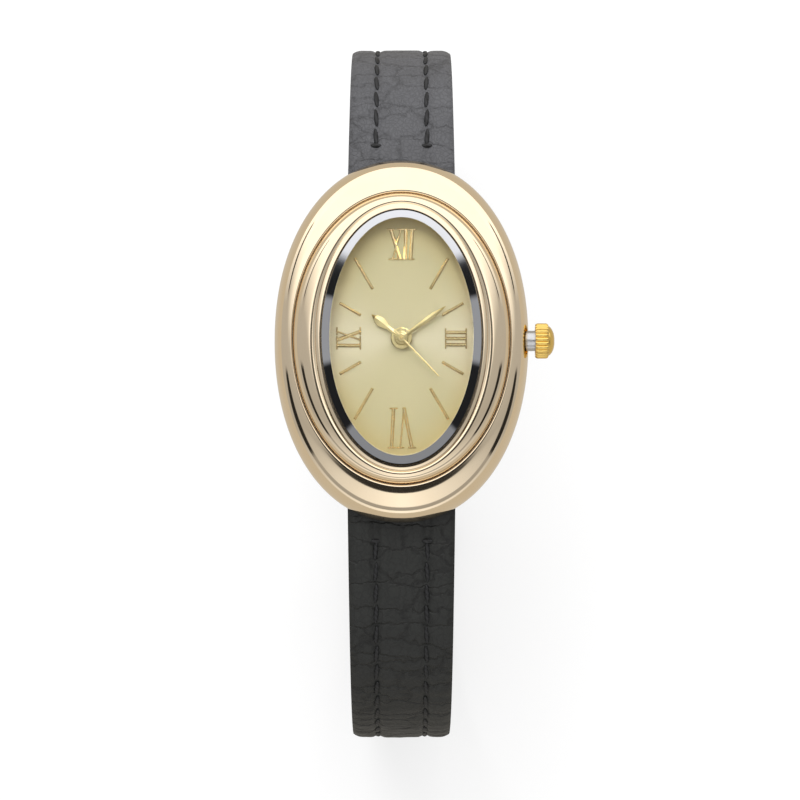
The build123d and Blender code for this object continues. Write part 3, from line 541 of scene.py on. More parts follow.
def even_bearings(count):
    """Bearings whose points lie evenly along the oval, found by walking it in tiny steps."""
    places = [oval_point(2 * pi * k / walk_steps, 1, oval_tallness, 0) for k in range(walk_steps + 1)]
    run = [0.0]
    for first, last in zip(places, places[1:]):
        run.append(run[-1] + (last - first).length)
    bearings, k = [], 0
    for step in range(count):
        wanted = run[-1] * step / count
        while run[k + 1] < wanted:
            k += 1
        share = (wanted - run[k]) / (run[k + 1] - run[k])
        bearings.append(2 * pi * (k + share) / walk_steps)
    return bearings


oval_bearings = even_bearings(oval_segments)


def rounded(rings, steps):
    """More rings between the named ones, on a smooth curve through them."""
    out = []
    for k in range(len(rings) - 1):
        before, a = rings[max(k - 1, 0)], rings[k]
        b, after = rings[k + 1], rings[min(k + 2, len(rings) - 1)]
        for step in range(steps):
            t = step / steps
            out.append(tuple(
                0.5 * ((2 * q) + (r - p) * t + (2 * p - 5 * q + 4 * r - s) * t * t
                       + (3 * q - p - 3 * r + s) * t ** 3)
                for p, q, r, s in zip(before, a, b, after)
            ))
    return out + [rings[-1]]


def oval_skin(rings, closed=False, caps=(False, False)):
    """Skin through ovals given as half width, half length, height and fullness, in millimetres."""
    bm = bmesh.new()
    layer = bm.verts.layers.float.new("bearing")
    bmesh.ops.create_circle(bm, segments=oval_segments, radius=1)
    bm.verts.ensure_lookup_table()
    for vert, bearing in zip(bm.verts, oval_bearings):
        vert[layer] = bearing
        vert.co = oval_point(bearing, *rings[0])
    first = edges = list(bm.edges)
    for ring in rings[1:]:
        verts, edges = extended(bm, edges)
        for vert in verts:
            vert.co = oval_point(vert[layer], *ring)
    if closed:
        bmesh.ops.bridge_loops(bm, edges=first + edges)
    if caps[0]:
        bmesh.ops.contextual_create(bm, geom=first)
    if caps[1]:
        bmesh.ops.contextual_create(bm, geom=edges)
    return bm


print("an oval has", oval_segments, "segments")

# %% [markdown]
# ## The case
# The real case is one casting, ground and polished into a pebble: widest a third of the way up, a
# long shoulder, and a crest that falls into a shallow valley round the bezel. It is an oval skin
# through named rings, smooth between them. The strap's pocket under each end and the crown's tube
# are then cut out of it.

# %% Case shell
case_outside = rounded(
    [(11.5, 16.75, 0.6, 0.13), (11.88, 17.13, 1.5, 0.13), (12.08, 17.33, 2.6, 0.13),
     (12.08, 17.3, 3.6, 0.12), (11.93, 17.02, 4.45, 0.1), (11.72, 16.55, 5.1, 0.08),
     (11.5, 16.1, 5.45, 0.07), (11.22, 15.55, 5.72, 0.05), (10.93, 14.95, 5.91, 0.03),
     (10.65, 14.4, 5.98, 0.01), (10.45, 14.05, 5.99, 0.0), (10.38, 13.94, 5.86, 0.0),
     (10.36, 13.91, 5.6, 0.0)], 6,
)
case_inside = [(9.53, 13.08, 5.58, 0), (9.53, 13.08, 5.0, 0), (8.9, 12.3, 5.0, 0), (8.9, 12.3, 0.6, 0)]
case_shell = make_piece(
    "case_shell", oval_skin(case_outside + case_inside, closed=True), rose_gold, "head",
    ["case_body"],
)

pocket_half, pocket_wall, pocket_roof = 5.27, 13.1, 3.05
past_case = 20
for side in (1, -1):
    near, far = sorted((side * pocket_wall, side * past_case))
    cut_box(case_shell, "strap_pocket", (-pocket_half, near, -1), (pocket_half, far, pocket_roof))
crown_axis_height, tube_hole_radius = 3.2, 1.0
tube_hole_place = Matrix.Translation(Vector((12, 0, crown_axis_height)) * mm)
shape_by(case_shell, "tube_hole", rod(tube_hole_place, tube_hole_radius, 12, 48))
case_shell.data.set_sharp_from_angle(angle=radians(35))
print("case shell", len(case_shell.data.polygons), "faces")

# %% [markdown]
# ## The bezel
# The bezel is a separate polished ring pressed into the case. Its outside rolls up out of the valley
# like half a tyre, a fine groove sets off a thin flat lip at the glass, and its wall drops inside to
# hold the glass and the dial.

# %% Bezel ring
bezel_roll = rounded(
    [(10.33, 13.88, 5.62), (10.29, 13.85, 5.95), (10.12, 13.76, 6.32), (9.8, 13.6, 6.68),
     (9.35, 13.38, 6.96), (8.85, 13.12, 7.1), (8.45, 12.9, 7.12), (8.25, 12.76, 7.07)], 6,
)
bezel_lip = [
    (8.2, 12.72, 7.06), (8.17, 12.68, 7.08), (8.12, 12.64, 7.26), (8.06, 12.58, 7.3),
    (7.74, 12.24, 7.3), (7.66, 12.16, 7.24), (7.63, 12.13, 6.5), (7.35, 11.85, 6.5), (7.35, 11.85, 5.0),
    (9.5, 13.05, 5.0), (9.5, 13.05, 5.62),
]
make_piece(
    "bezel_ring", oval_skin(bezel_roll + bezel_lip, closed=True), rose_gold, "head", ["bezel"],
)

# %% [markdown]
# ## The glass
# The glass is flat with a wide ground bevel, which catches the light as a bright and dark band round
# the dial. It is one closed block, so light bends properly through it.

# %% Glass
glass_rings = [
    (7.6, 12.1, 6.5), (7.6, 12.1, 7.27), (7.55, 12.05, 7.34), (6.82, 11.32, 7.83), (6.75, 11.25, 7.85),
]
watch_glass = make_piece(
    "watch_glass", oval_skin(glass_rings, caps=(True, True)), mineral_glass, "head", ["crystal"],
    sharp=12,
)

# %% [markdown]
# Seen from above, a ground bevel hides what lies under it: light that comes up through it is turned
# back inside the glass, and the facet shows the room instead, as a mirror would. The bevel's faces
# get a mirror's finish for that reason.

# %% Bevel facets
bevel_mirror = polished("bevel_mirror", colour(196, 197, 201), 0.03, 0.02)
watch_glass.data.materials.append(bevel_mirror.material)
facets = [face for face in watch_glass.data.polygons if 0.3 < face.normal.z < 0.95]
for face in facets:
    face.material_index = 1
print("bevel facets", len(facets))

# %% [markdown]
# ## The case back
# The back is a plain steel plate with a turned step, pressed in from below. It gets a small rounded
# edge, since nothing on a watch that touches skin is sharp.

# %% Case back
back_rings = [
    (8.87, 12.27, 1.1), (8.87, 12.27, 0.6), (10.88, 13.08, 0.6), (10.9, 13.1, 0.55), (10.9, 13.1, 0.12),
    (10.78, 12.98, 0.0),
]
make_piece(
    "back_plate", oval_skin(back_rings, caps=(True, True)), steel, "head", ["case_back"],
    sharp=25,
)

# %% [markdown]
# ## Copies with soft edges
# The buckle's bow and tongue have the right shapes already, but a cast piece has no sharp edge. Each
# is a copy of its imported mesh: its doubles are merged, its flat faces joined up, and its edges
# bevelled by a tenth or two of a millimetre, which gives it its glints.

# %% Bevelled copies
def softened(name, node, width):
    """A copy of one of the buckle's nodes with its hard edges bevelled."""
    bm = bmesh.new()
    bm.from_mesh(bpy.data.objects[node].data)
    bmesh.ops.remove_doubles(bm, verts=bm.verts, dist=1e-6)
    bmesh.ops.dissolve_limit(bm, angle_limit=radians(2), verts=bm.verts, edges=bm.edges)
    hard = [e for e in bm.edges if len(e.link_faces) == 2 and degrees(e.calc_face_angle(0)) > 25]
    bevel(bm, hard, width, 3)
    bmesh.ops.recalc_face_normals(bm, faces=bm.faces)
    make_piece(
        name, bm, yellow_gold, node_body[node], [node], sharp=60, flats=True
    )


softened("buckle_bow", "buckle_frame", 0.16)
softened("buckle_pin", "buckle_tongue", 0.12)

# %% [markdown]
# ## Numerals and hour bars
# Numerals and bars are cut from gold strip with a milled roof, so each stroke shows a light side and
# a dark side to the room. Every stroke is a block whose upper edges are bevelled, laid between two
# points of the dial, and the strokes of one piece are joined with the Boolean modifier. The shares
# say where a stroke's foot and head lie in the numeral's width, and how heavy it is.

# %% Dial furniture
dial_top, marker_thickness = 5.0, 0.16
roof_slope = 0.11
window_half_width, window_half_length = 7.35, 11.85
full_stroke, serif, serif_reach = 0.34, 0.14, 0.38
bar_width = 0.28
apex = 0.4


def stroke_block(x0, y0, x1, y1, width, turn):
    """A milled bar on the dial between two points, turned about the centre by a bearing."""
    run = Vector((x1 - x0, y1 - y0, 0))
    bm = block_of(run.length, width, marker_thickness)
    upper = [e for e in bm.edges if min(v.co.z for v in e.verts) > 0]
    bevel(bm, upper, min(roof_slope, 0.36 * width), 1)
    middle = Vector(((x0 + x1) / 2, (y0 + y1) / 2, dial_top + marker_thickness / 2)) * mm
    lean = run.to_2d().angle_signed(Vector((1, 0)))
    placed = Matrix.Translation(middle) @ Matrix.Rotation(lean, 4, "Z")
    return moved(bm, Matrix.Rotation(radians(turn), 4, "Z") @ placed)


def joined_strokes(name, node, blocks):
    """One piece from many stroke blocks, each joined on in turn."""
    piece = make_piece(name, blocks[0], numeral_gold, node_body[node], [node], sharp=15)
    for block in blocks[1:]:
        shape_by(piece, "stroke", block, "UNION")
    piece.data.set_sharp_from_angle(angle=radians(15))
    print(name, len(piece.data.polygons), "faces")


def numeral_blocks(strokes, window_half, margin, length, width, inner_width, turn):
    """One numeral's strokes with their serifs, a margin inside the dial's window."""
    outer = window_half - margin
    inner = outer - length
    blocks = []
    for foot, head, weight in strokes:
        x0, x1 = (foot - 0.5) * inner_width, (head - 0.5) * width
        blocks.append(stroke_block(x0, inner, x1, outer, weight * full_stroke, turn))
        y = outer - serif / 2
        blocks.append(stroke_block(x1 - serif_reach, y, x1 + serif_reach, y, serif, turn))
        if foot != apex:
            y = inner + serif / 2
            blocks.append(stroke_block(x0 - serif_reach, y, x0 + serif_reach, y, serif, turn))
    return blocks


# Strokes as foot, head and weight; then window, margin, length, outer and inner width, and bearing
numerals = (
    (((0.44, 0.15, 1), (0.12, 0.49, 0.5), (0.66, 0.64, 1), (0.88, 0.86, 1)),
     window_half_length, 1.35, 3.0, 2.92, 2.2484, 0),
    (((apex, 0.16, 1), (apex, 0.54, 0.5), (0.83, 0.82, 1)),
     window_half_length, 1.41, 3.87, 2.95, 2.2715, 180),
    (((0.18, 0.18, 1), (0.84, 0.42, 1), (0.42, 0.84, 0.5)),
     window_half_width, 1.16, 2.35, 2.07, 2.07, 90),
    (((0.16, 0.16, 1), (0.5, 0.5, 1), (0.84, 0.84, 1)),
     window_half_width, 1.15, 2.08, 1.73, 1.73, -90),
)
numeral_strokes = [block for numeral in numerals for block in numeral_blocks(*numeral)]
joined_strokes("numerals", "dial_numerals", numeral_strokes)

# Bars as bearing from three or nine o'clock, inner end and outer end
bar_kinds = ((30, 4.45, 6.78), (60, 5.46, 8.87))
hour_bars = [
    stroke_block(inner, 0, outer, 0, bar_width, side + way * lean)
    for side in (0, 180) for way in (-1, 1) for lean, inner, outer in bar_kinds
]
joined_strokes("hour_markers", "dial_markers", hour_bars)

# %% [markdown]
# ## The hands
# Each hand is a thin blade stamped with a ridge along its middle, so one slope is bright while the
# other is dark. A blade is a few vertices extruded along its length: left edge, ridge and right edge
# at each station. A turned boss sits on the pipe at its root.

# %% Hands
def blade(stations, height, ridge, thickness, bearing, boss_radius, boss_top, bore):
    """A ridged hand along a clock bearing, with its boss, in millimetres."""
    bm = bmesh.new()
    y, half = stations[0]
    top = height + thickness
    section = ((-half, height), (half, height), (half, top), (0, top + ridge), (-half, top))
    corners = [bm.verts.new(Vector((x, y, z)) * mm) for x, z in section]
    edges = ring_of_edges(bm, corners)
    bm.faces.new(corners)
    for y, half in stations[1:]:
        verts, edges = extended(bm, edges)
        widest = max(abs(v.co.x) for v in verts)
        for vert in verts:
            vert.co.x = vert.co.x / widest * half * mm
            vert.co.y = y * mm
    bmesh.ops.contextual_create(bm, geom=edges)
    moved(bm, Matrix.Rotation(-radians(bearing), 4, "Z"))
    profile = (
        (bore, height), (boss_radius, height), (boss_radius, boss_top - 0.05),
        (boss_radius - 0.08, boss_top), (bore + 0.05, boss_top), (bore, boss_top - 0.03),
    )
    corners = [bm.verts.new(Vector((r, 0, z)) * mm) for r, z in profile]
    bmesh.ops.spin(
        bm, geom=corners + ring_of_edges(bm, corners), cent=(0, 0, 0), axis=(0, 0, 1), angle=2 * pi,
        steps=48, use_merge=True,
    )
    return bm


def make_hand(name, node, *shape):
    make_piece(name, blade(*shape), pale_gold, node_body[node], [node], sharp=18)


# Stations as distance along the hand and half width; then height, ridge, thickness, bearing and boss
hour_stations = (
    (0.3, 0.2), (1.63, 0.21), (2.0, 0.34), (2.4, 0.47), (2.75, 0.44), (3.2, 0.22), (3.62, 0.02),
)
minute_stations = ((0.2, 0.15), (1.6, 0.2), (3.2, 0.25), (3.9, 0.24), (4.6, 0.12), (5.17, 0.02))
second_stations = ((-1.0, 0.1), (0.0, 0.1), (2.5, 0.08), (5.14, 0.05))
make_hand("hour_hand_blade", "hour_hand", hour_stations, 5.35, 0.12, 0.11, 308.5, 1.02, 5.56, 0.6)
make_hand("minute_hand_blade", "minute_hand", minute_stations, 5.73, 0.13, 0.1, 54.3, 0.62, 5.95, 0.36)
make_hand("second_hand_blade", "second_hand", second_stations, 6.11, 0.04, 0.12, 136.3, 0.4, 6.31, 0.13)

# %% [markdown]
# ## The crown
# The crown is turned from brass, with two dozen straight flutes for the fingers and a smooth domed
# cap. Its rim is a circle of points pushed in and out by the flutes, extruded along the axis, and the
# cap's rings lose their flutes as they run inwards.

# %% Crown
crown_profile = [
    (12.75, 1.3, 0), (12.75, 1.56, 0), (12.8, 1.62, 0.6), (12.95, 1.69, 1), (13.8, 1.69, 1),
    (13.95, 1.6, 0.7), (14.0, 1.5, 0.15), (14.02, 1.42, 0), (14.18, 1.32, 0), (14.36, 1.08, 0),
    (14.5, 0.75, 0), (14.57, 0.38, 0), (14.58, 0.02, 0),
]
crown_flutes, flute_depth, crown_points = 24, 0.15, 240
crown_bore_floor, crown_bore_radius = 13.5, 1.3


def crown_body():
    bm = bmesh.new()
    layer = bm.verts.layers.float.new("bearing")
    bmesh.ops.create_circle(bm, segments=crown_points, radius=1)
    bm.verts.ensure_lookup_table()

    def put(vert, x, radius, fluting):
        wave = 0.5 + 0.5 * cos(crown_flutes * vert[layer])
        r = radius - fluting * flute_depth * (1 - wave ** 0.35)
        vert.co = Vector((x, r * cos(vert[layer]), crown_axis_height + r * sin(vert[layer]))) * mm

    for k, vert in enumerate(bm.verts):
        vert[layer] = 2 * pi * k / crown_points
        put(vert, *crown_profile[0])
    rim = edges = list(bm.edges)
    for ring in crown_profile[1:]:
        verts, edges = extended(bm, edges)
        for vert in verts:
            put(vert, *ring)
    bmesh.ops.contextual_create(bm, geom=edges)
    verts, edges = extended(bm, rim)
    for vert in verts:
        put(vert, crown_bore_floor, crown_bore_radius, 0)
    bmesh.ops.contextual_create(bm, geom=edges)
    return bm


make_piece(
    "crown_knob", crown_body(), yellow_gold, node_body["crown"], ["crown"], sharp=30
)

# %% [markdown]
# ## The strap's path
# Each half starts on its spring bar and follows arcs of a few radii, as leather does once it has been
# worn. A station is a place and a heading on that path. The long half curls up inside the short one,
# as an open strap does on a table.

# %% Strap path
bar_place, bar_level, start_heading = 14.35, 1.6, 8
upper_bends = ((26.6, 18), (12.4, 64), (66.4, 10), (14.0, 82), (59.0, 10))
lower_bends = ((39.3, 18), (18.2, 64), (60.6, 6), (14.0, 84), (14.0, 50), (60.0, 19))
station_gap = 0.3
strap_width, tip_width = 10.3, 8.0
strap_thickness, tip_thickness = 2.2, 1.6


def strap_stations(bends):
    """Distance, place and heading along one half, in millimetres and degrees."""
    y, z, heading, run = bar_place, bar_level, start_heading, 0.0
    stations = [(run, y, z, heading)]
    for radius, turn in bends:
        steps = ceil(radius * radians(turn) / station_gap)
        for step in range(1, steps + 1):
            now = heading + turn * step / steps
            stations.append((
                run + radius * radians(turn) * step / steps,
                y + radius * (sin(radians(now)) - sin(radians(heading))),
                z - radius * (cos(radians(heading)) - cos(radians(now))), now,
            ))
        run, y, z, heading = stations[-1]
    return stations


def strap_matrix(side, station):
    """Where a station's cross-section stands: x across, y out from the wrist, z along the strap."""
    _, y, z, heading = station
    along = Vector((0, side * cos(radians(heading)), -sin(radians(heading))))
    across = Vector((-side, 0, 0))
    outward = along.cross(across)
    matrix = Matrix((across, outward, along)).transposed().to_4x4()
    matrix.translation = Vector((0, side * y, z)) * mm
    return matrix


upper_path, lower_path = strap_stations(upper_bends), strap_stations(lower_bends)
print("strap halves", round(upper_path[-1][0], 1), "and", round(lower_path[-1][0], 1), "mm")

# %% [markdown]
# ## The leather of the strap
# The outer leather is folded over a thin padding, so it is fullest in the middle and turns down at
# its edges, and each row of stitches pulls it into a groove. A cross-section is extruded along the
# path, station by station. Slow noise lifts and dips the surface a few hundredths of a millimetre,
# and the long half has deeper cross creases where it has been buckled.

# %% Strap leather
stitch_line, groove_depth, groove_width = 2.5, 0.22, 0.36
edge_width, edge_drop, padding = 0.9, 0.3, 0.05
section_points = 44
lining_share = 0.36
tip_reach = 5.0


def half_sizes(share):
    width = strap_width + (tip_width - strap_width) * share
    thickness = strap_thickness + (tip_thickness - strap_thickness) * share
    return width / 2, thickness / 2


def tip_half(side, left, half):
    """The long half's end is cut to a rounded point."""
    if side > 0 or left > tip_reach:
        return half
    return half * max(0.02, 1 - (1 - left / tip_reach) ** 2.2) ** 0.5


def leather_skin(side, path, low_share, high_share, top_shape, creases=0.0):
    """A strip of leather along one half, between two shares of the strap's thickness."""
    length = path[-1][0]
    bm = bmesh.new()
    layer = bm.verts.layers.float.new("across")
    lift = bm.verts.layers.float.new("top")
    place = bm.verts.layers.float_vector.new("place")
    verts = []
    for k in range(section_points + 1):
        vert = bm.verts.new((0, 0, 0))
        vert[layer], vert[lift] = 2 * k / section_points - 1, 1
        verts.append(vert)
    for k in range(section_points, -1, -4):
        vert = bm.verts.new((0, 0, 0))
        vert[layer], vert[lift] = 2 * k / section_points - 1, 0
        verts.append(vert)
    edges = first = ring_of_edges(bm, verts)

    def put(group, station):
        half, thick = half_sizes(station[0] / length)
        half = tip_half(side, length - station[0], half)
        matrix = strap_matrix(side, station)
        for vert in group:
            u = vert[layer]
            x = u * half
            low, high = thick * (2 * low_share - 1), thick * (2 * high_share - 1)
            y = low
            if vert[lift] > 0.5:
                y = high + top_shape(x, half)
                if creases:
                    y += creases * noise.noise(Vector((x * 0.25, station[0] * 1.1, side * 7)))
                    y += creases * 0.5 * noise.noise(Vector((x * 0.9, station[0] * 2.6, side * 3)))
            vert.co = matrix @ (Vector((x, y, 0)) * mm)
            vert[place] = Vector((x, station[0], 0)) * mm

    put(verts, path[0])
    for station in path[1:]:
        verts, edges = extended(bm, edges)
        put(verts, station)
    bmesh.ops.contextual_create(bm, geom=first)
    bmesh.ops.contextual_create(bm, geom=edges)
    strap_map = bm.loops.layers.uv.new("strap_map")
    for face in bm.faces:
        for loop in face.loops:
            loop[strap_map].uv = loop.vert[place].xy
    return bm


def stitch_place(half):
    """How far from the middle a row of stitches runs where the strap has a given half width."""
    return stitch_line * 2 * half / strap_width


def padded_top(x, half):
    """The height of the outer leather above its plain top: turned-down edges and stitch grooves."""
    edge = 1 - min(1.0, (half - abs(x)) / edge_width)
    drop = -edge_drop * edge ** 2.2
    groove = -groove_depth / (1 + ((abs(x) - stitch_place(half)) / groove_width) ** 4)
    crown = padding * cos(pi / 2 * x / half)
    return drop + groove + crown - padding


def flat_top(x, half):
    return 0.0


# %% [markdown]
# The leather is folded round the bars at its ends, the lining stops short of each fold, and the
# buckle's tongue turns in a slot. The long half has its seven punched holes. All of these are cut or
# joined with the Boolean modifier, on cutters made from the same stations as the leather.

# %% Folds, slot and holes
fold_radius, bar_hole_radius = 1.1, 0.7
slot_half, slot_depth = 1.15, 2.0
hole_count, hole_pitch, hole_from_tip, hole_radius = 7, 5.0, 11.0, 0.75


def station_at(path, run):
    for first, last in zip(path, path[1:]):
        if last[0] >= run:
            share = (run - first[0]) / (last[0] - first[0])
            return tuple(a + (b - a) * share for a, b in zip(first, last))
    return path[-1]


def finish_end(leather, lining, side, path, station):
    """Folds the leather round the bar at one end and clears the bar's hole."""
    half, _ = half_sizes(station[0] / path[-1][0])
    matrix = strap_matrix(side, station)
    shape_by(leather, "fold", rod(matrix, fold_radius, 2 * half - 0.1), "UNION")
    shape_by(leather, "bar_hole", rod(matrix, bar_hole_radius, 3 * half))
    shape_by(lining, "fold_room", rod(matrix, fold_radius, 3 * half))


def cut_tongue_slot(pieces, matrix):
    centre = Matrix.Translation((0, 0, (2 * fold_radius - slot_depth) / 2 * mm))
    for thing in pieces:
        block = block_of(2 * slot_half, 2 * strap_thickness, slot_depth + 2 * fold_radius)
        shape_by(thing, "tongue_slot", moved(block, matrix @ centre))


def punch_holes(pieces, side, path):
    for thing in pieces:
        for hole in range(hole_count):
            station = station_at(path, path[-1][0] - hole_from_tip - hole * hole_pitch)
            matrix = strap_matrix(side, station) @ Matrix.Rotation(pi / 2, 4, "Z")
            shape_by(thing, "punched_hole", rod(matrix, hole_radius, 2 * strap_thickness, 20))


# %% Strap halves
def strap_half(name, side, path, finish, body, leather_node, lining_node, creases):
    skin = leather_skin(side, path, lining_share, 1, padded_top, creases)
    top = make_piece(
        name + "_leather_skin", skin, finish, body, [leather_node], sharp=50
    )
    lining = leather_skin(side, path, 0, lining_share, flat_top)
    under = make_piece(
        name + "_lining_skin", lining, lining_leather, body, [lining_node], sharp=50
    )
    finish_end(top, under, side, path, path[0])
    return top, under


# Each half wears its own copy of the leather: painted light on the short half, painted shade on the
# long one
upper_top, upper_under = strap_half(
    "upper", 1, upper_path, black_leather, "strap_12", "strap_12_leather", "strap_12_lining", 0.05
)
lower_top, lower_under = strap_half(
    "lower", -1, lower_path, creased_leather, "strap_6", "strap_6_leather", "strap_6_lining", 0.09
)
finish_end(upper_top, upper_under, 1, upper_path, upper_path[-1])
cut_tongue_slot((upper_top, upper_under), strap_matrix(1, upper_path[-1]))
punch_holes((lower_top, lower_under), -1, lower_path)
for thing in (upper_top, upper_under, lower_top, lower_under):
    thing.data.set_sharp_from_angle(angle=radians(50))
    print(thing.name, len(thing.data.polygons), "faces")

# %% [markdown]
# ## The keepers
# Two leather loops hold the long half's end: one is sewn behind the buckle and the other slides. Each
# is a strip of leather bent round the strap and glued, so it has round outer corners and a smooth
# inside. A block with bevelled edges is hollowed by a smaller one, and its rims are softened last.

# %% Keepers
keeper_width, keeper_wall, keeper_gap, keeper_room = 3.2, 0.6, 0.16, 1.5
outer_corner, inner_corner, rim_softness = 0.75, 0.2, 0.13


def keeper_block(matrix, half, low, high, width, corner):
    """A block across the strap whose four long edges are rounded."""
    bm = block_of(2 * half, high - low, width)
    long_edges = [e for e in bm.edges if abs(e.verts[0].co.z - e.verts[1].co.z) > width * mm / 2]
    bevel(bm, long_edges, corner, 6)
    return moved(bm, matrix @ Matrix.Translation((0, (low + high) / 2 * mm, 0)))


def keeper_loop(name, node, back):
    """A leather loop round the upper half, a distance back from the buckle's bar."""
    length = upper_path[-1][0]
    station = station_at(upper_path, length - back)
    half, thick = half_sizes(station[0] / length)
    matrix = strap_matrix(1, station)
    half, low, high = half + keeper_gap, -thick - keeper_gap, thick + keeper_gap + keeper_room
    block = keeper_block(
        matrix, half + keeper_wall, low - keeper_wall, high + keeper_wall, keeper_width, outer_corner
    )
    loop = make_piece(name, block, keeper_leather, node_body[node], [node], sharp=50)
    room = keeper_block(matrix, half, low, high, 2 * keeper_width, inner_corner)
    shape_by(loop, "keeper_room", room)
    rim = loop.modifiers.new("soft_rim", "BEVEL")
    rim.width, rim.segments = rim_softness * mm, 3
    rim.limit_method, rim.angle_limit = "ANGLE", radians(60)


keeper_loop("fixed_loop", "fixed_keeper", 3.6)
keeper_loop("sliding_loop", "free_keeper", 8.4)

# %% [markdown]
# ## Stitching
# Two rows of saddle stitches hold leather, padding and lining together, one stitch every 2.1
# millimetres, each sunk a little in its groove. A stitch is a stretched ball of a few dozen faces.
# All the stitches of one half are one piece, and a short cross stitch starts each row.

# %% Stitches
stitch_pitch, stitch_length, stitch_thick, knot_length = 2.1, 2.0, 0.46, 1.1


def add_stitch(bm, matrix, length, turn):
    size = Matrix.Diagonal((stitch_thick / 2 * mm, stitch_thick / 3 * mm, length / 2 * mm, 1))
    shape = matrix @ Matrix.Rotation(turn, 4, "Y") @ size
    bmesh.ops.create_uvsphere(bm, u_segments=8, v_segments=6, radius=1, matrix=shape)


def stitch_rows(name, side, path, body, start, end):
    bm = bmesh.new()
    length = path[-1][0]
    count = int((length - start - end) / stitch_pitch)
    for k in range(count):
        run = start + k * stitch_pitch
        station = station_at(path, run)
        half, thick = half_sizes(run / length)
        for row in (1, -1):
            x = row * stitch_place(half)
            y = thick + padded_top(x, half) + 0.04
            matrix = strap_matrix(side, station) @ Matrix.Translation(Vector((x, y, 0)) * mm)
            add_stitch(bm, matrix, stitch_length, 0.08 * row)
            if k == 0:
                knot = matrix @ Matrix.Translation((0, 0.05 * mm, -0.9 * mm))
                add_stitch(bm, knot, knot_length, pi / 2)
    make_piece(name, bm, black_thread, body, (), sharp=80)


stitch_rows("upper_stitches", 1, upper_path, "strap_12", 5.4, 5.0)
stitch_rows("lower_stitches", -1, lower_path, "strap_6", 5.4, 6.0)

# %% [markdown]
# ## The room
# A plain pale floor, a big soft lamp above and a smaller, low one beyond twelve o'clock. The world is
# pale too, and mirrors see in it what stands round a real product table: white walls and a few dark
# gaps between them, which draw the dark lines in the polished case and in the glass's bevel.

# %% Floor
floor_level = -38.2 * mm
floor_half = 2.0
floor_glow = 0.68
bm = bmesh.new()
bmesh.ops.create_grid(bm, x_segments=1, y_segments=1, size=floor_half)
bmesh.ops.translate(bm, verts=bm.verts, vec=(0, 0, floor_level))
floor_mesh = bpy.data.meshes.new("floor")
bm.to_mesh(floor_mesh)
bm.free()
floor = bpy.data.objects.new("floor", floor_mesh)
bpy.context.scene.collection.objects.link(floor)
paper = Finish("floor_paper")
paper.set(Base_Color=solid((0.9, 0.9, 0.9)), Roughness=0.9)
tooth = paper.noise(paper.place(), 400.0, 2.0, 0.5)
paper.bump(tooth, 0.01 * mm)
shine = paper.node("ShaderNodeEmission", None, {"Color": (1, 1, 1, 1), "Strength": 1.0})
rays = paper.node("ShaderNodeLightPath")
seen = Flow(paper, rays.socket.node.outputs["Is Camera Ray"])
mirrored = Flow(paper, rays.socket.node.outputs["Is Glossy Ray"])
through = Flow(paper, rays.socket.node.outputs["Is Transmission Ray"])
lit = (seen + through) * floor_glow
lit = lit.sum("MINIMUM", lit, floor_glow)
paper_output = paper.tree.nodes["Material Output"]
mixed = paper.node(
    "ShaderNodeMixShader", None, {0: lit, 1: Flow(paper, paper.shader.outputs[0]), 2: shine}
)
# Mirrors see the floor as a dim warm glow instead of the paper: painted shade of the floor round the
# watch, with a painted warm tint of light thrown from the gold case
painted_floor_shade = paper.node("ShaderNodeEmission", None, {"Color": (0.62, 0.58, 0.51, 1), "Strength": 1.0})
mixed = paper.node("ShaderNodeMixShader", None, {0: mirrored, 1: mixed, 2: painted_floor_shade})
paper.feed(paper_output.inputs["Surface"], mixed)
floor_mesh.materials.append(paper.material)

# %% World
wall_level = 1.7
backdrop_level = 0.9
gap_grey = (0.015, 0.015, 0.015)
hole_tilt = radians(2)

world = bpy.data.worlds.new("studio")
bpy.context.scene.world = world
world.use_nodes = True
sky = Finish("studio", world.node_tree)
direction = sky.node("ShaderNodeTexCoord", output="Generated")
parts = sky.node("ShaderNodeSeparateXYZ", None, {0: direction})
east = Flow(sky, parts.socket.node.outputs["X"])
north = Flow(sky, parts.socket.node.outputs["Y"])
height = Flow(sky, parts.socket.node.outputs["Z"])
bearing = east.sum("ARCTAN2", abs(east), north) / pi


def grey_steps(*stops):
    return [(place, (level,) * 3) for place, level in stops]


# Low walls: a bright end, grey sides and dark corners beyond them
low_wall = sky.ramp(bearing, grey_steps(
    (0.0, 1.0), (0.3, 1.0), (0.4, 0.34), (0.505, 0.34),
    (0.515, 0.015), (0.655, 0.015), (0.67, 0.27), (1.0, 0.27),
))
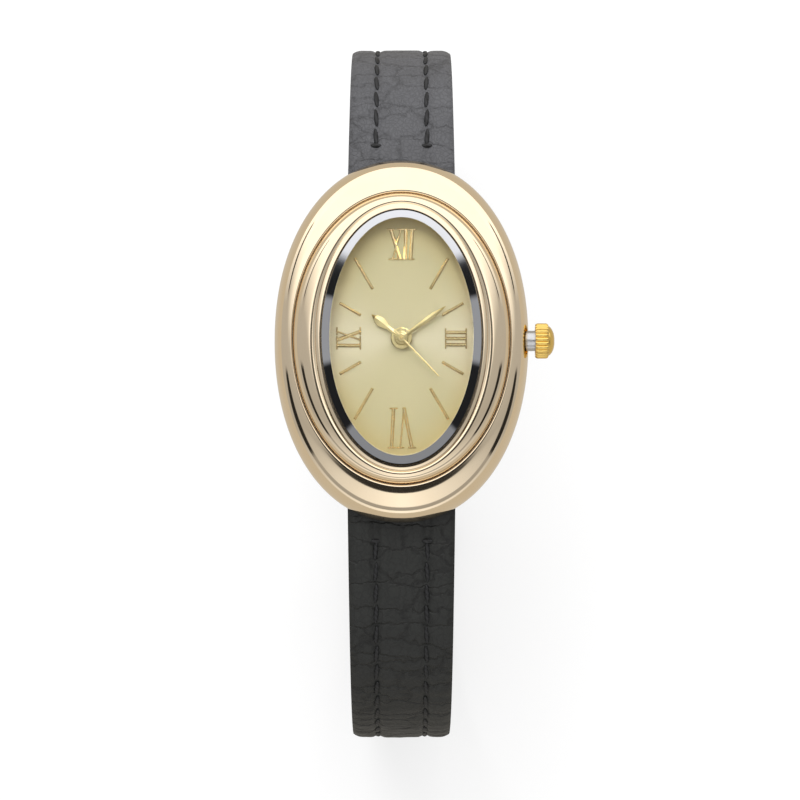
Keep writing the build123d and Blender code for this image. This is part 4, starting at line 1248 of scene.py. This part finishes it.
# Tent above: brightest beyond twelve o'clock, dull at the sides, fair beyond six
high_wall = sky.ramp(bearing, grey_steps(
    (0.0, 1.0), (0.3, 0.95), (0.42, 0.35), (0.6, 0.31), (0.75, 0.54), (1.0, 0.8),
))
ring = sky.ramp(height, grey_steps(
    (0.0, 0.0), (0.28, 0.0), (0.31, 1.0), (0.53, 1.0), (0.56, 0.0), (1.0, 0.0),
))
# The camera's own hole in the tent, overhead
hole = sky.node(
    "ShaderNodeVectorMath", {"operation": "DOT_PRODUCT"},
    {0: direction, 1: (0, -sin(hole_tilt), cos(hole_tilt))}, output="Value",
)
lens_gap = sky.ramp(hole, grey_steps((0.0, 0.0), (0.982, 0.0), (0.989, 1.0), (1.0, 1.0)))
# Two dark gaps that only the glass's bevel and a thin line of the case can see
upper_corner = sky.ramp(bearing, grey_steps(
    (0.0, 0.0), (0.275, 0.0), (0.285, 1.0), (0.395, 1.0), (0.405, 0.0), (1.0, 0.0),
))
belt = sky.ramp(height, grey_steps(
    (0.0, 0.0), (0.29, 0.0), (0.3, 1.0), (0.375, 1.0), (0.385, 0.0), (1.0, 0.0),
))
walls = sky.blend(ring, high_wall, low_wall)
walls = sky.blend(upper_corner * belt, walls, solid(gap_grey))
walls = sky.blend(lens_gap, walls, solid((0.02, 0.02, 0.02)))
walls = sky.node(
    "ShaderNodeVectorMath", {"operation": "SCALE"}, {0: walls, "Scale": wall_level}, output="Vector"
)
rays = sky.node("ShaderNodeLightPath")
mirrored = Flow(sky, rays.socket.node.outputs["Is Glossy Ray"])
backdrop = sky.tree.nodes["Background"]
sky.feed(backdrop.inputs["Color"], sky.blend(mirrored, solid((0.92, 0.92, 0.92)), walls))
backdrop.inputs["Strength"].default_value = backdrop_level

# %% Lamps
def soft_lamp(name, place, size, watts):
    data = bpy.data.lights.new(name, "AREA")
    data.shape, data.size, data.energy = "DISK", size, watts
    lamp = bpy.data.objects.new(name, data)
    lamp.location = Vector(place)
    lamp.rotation_mode = "QUATERNION"
    lamp.rotation_quaternion = (-Vector(place)).to_track_quat("-Z", "Y")
    lamp.visible_glossy = False
    bpy.context.scene.collection.objects.link(lamp)


soft_lamp("top_lamp", (-0.12, 0.4, 0.6), 0.5, 4.0)
soft_lamp("low_lamp", (0.2, 0.5, 0.2), 0.4, 1.2)
bpy.context.scene.view_settings.view_transform = "Standard"
print("room ready")
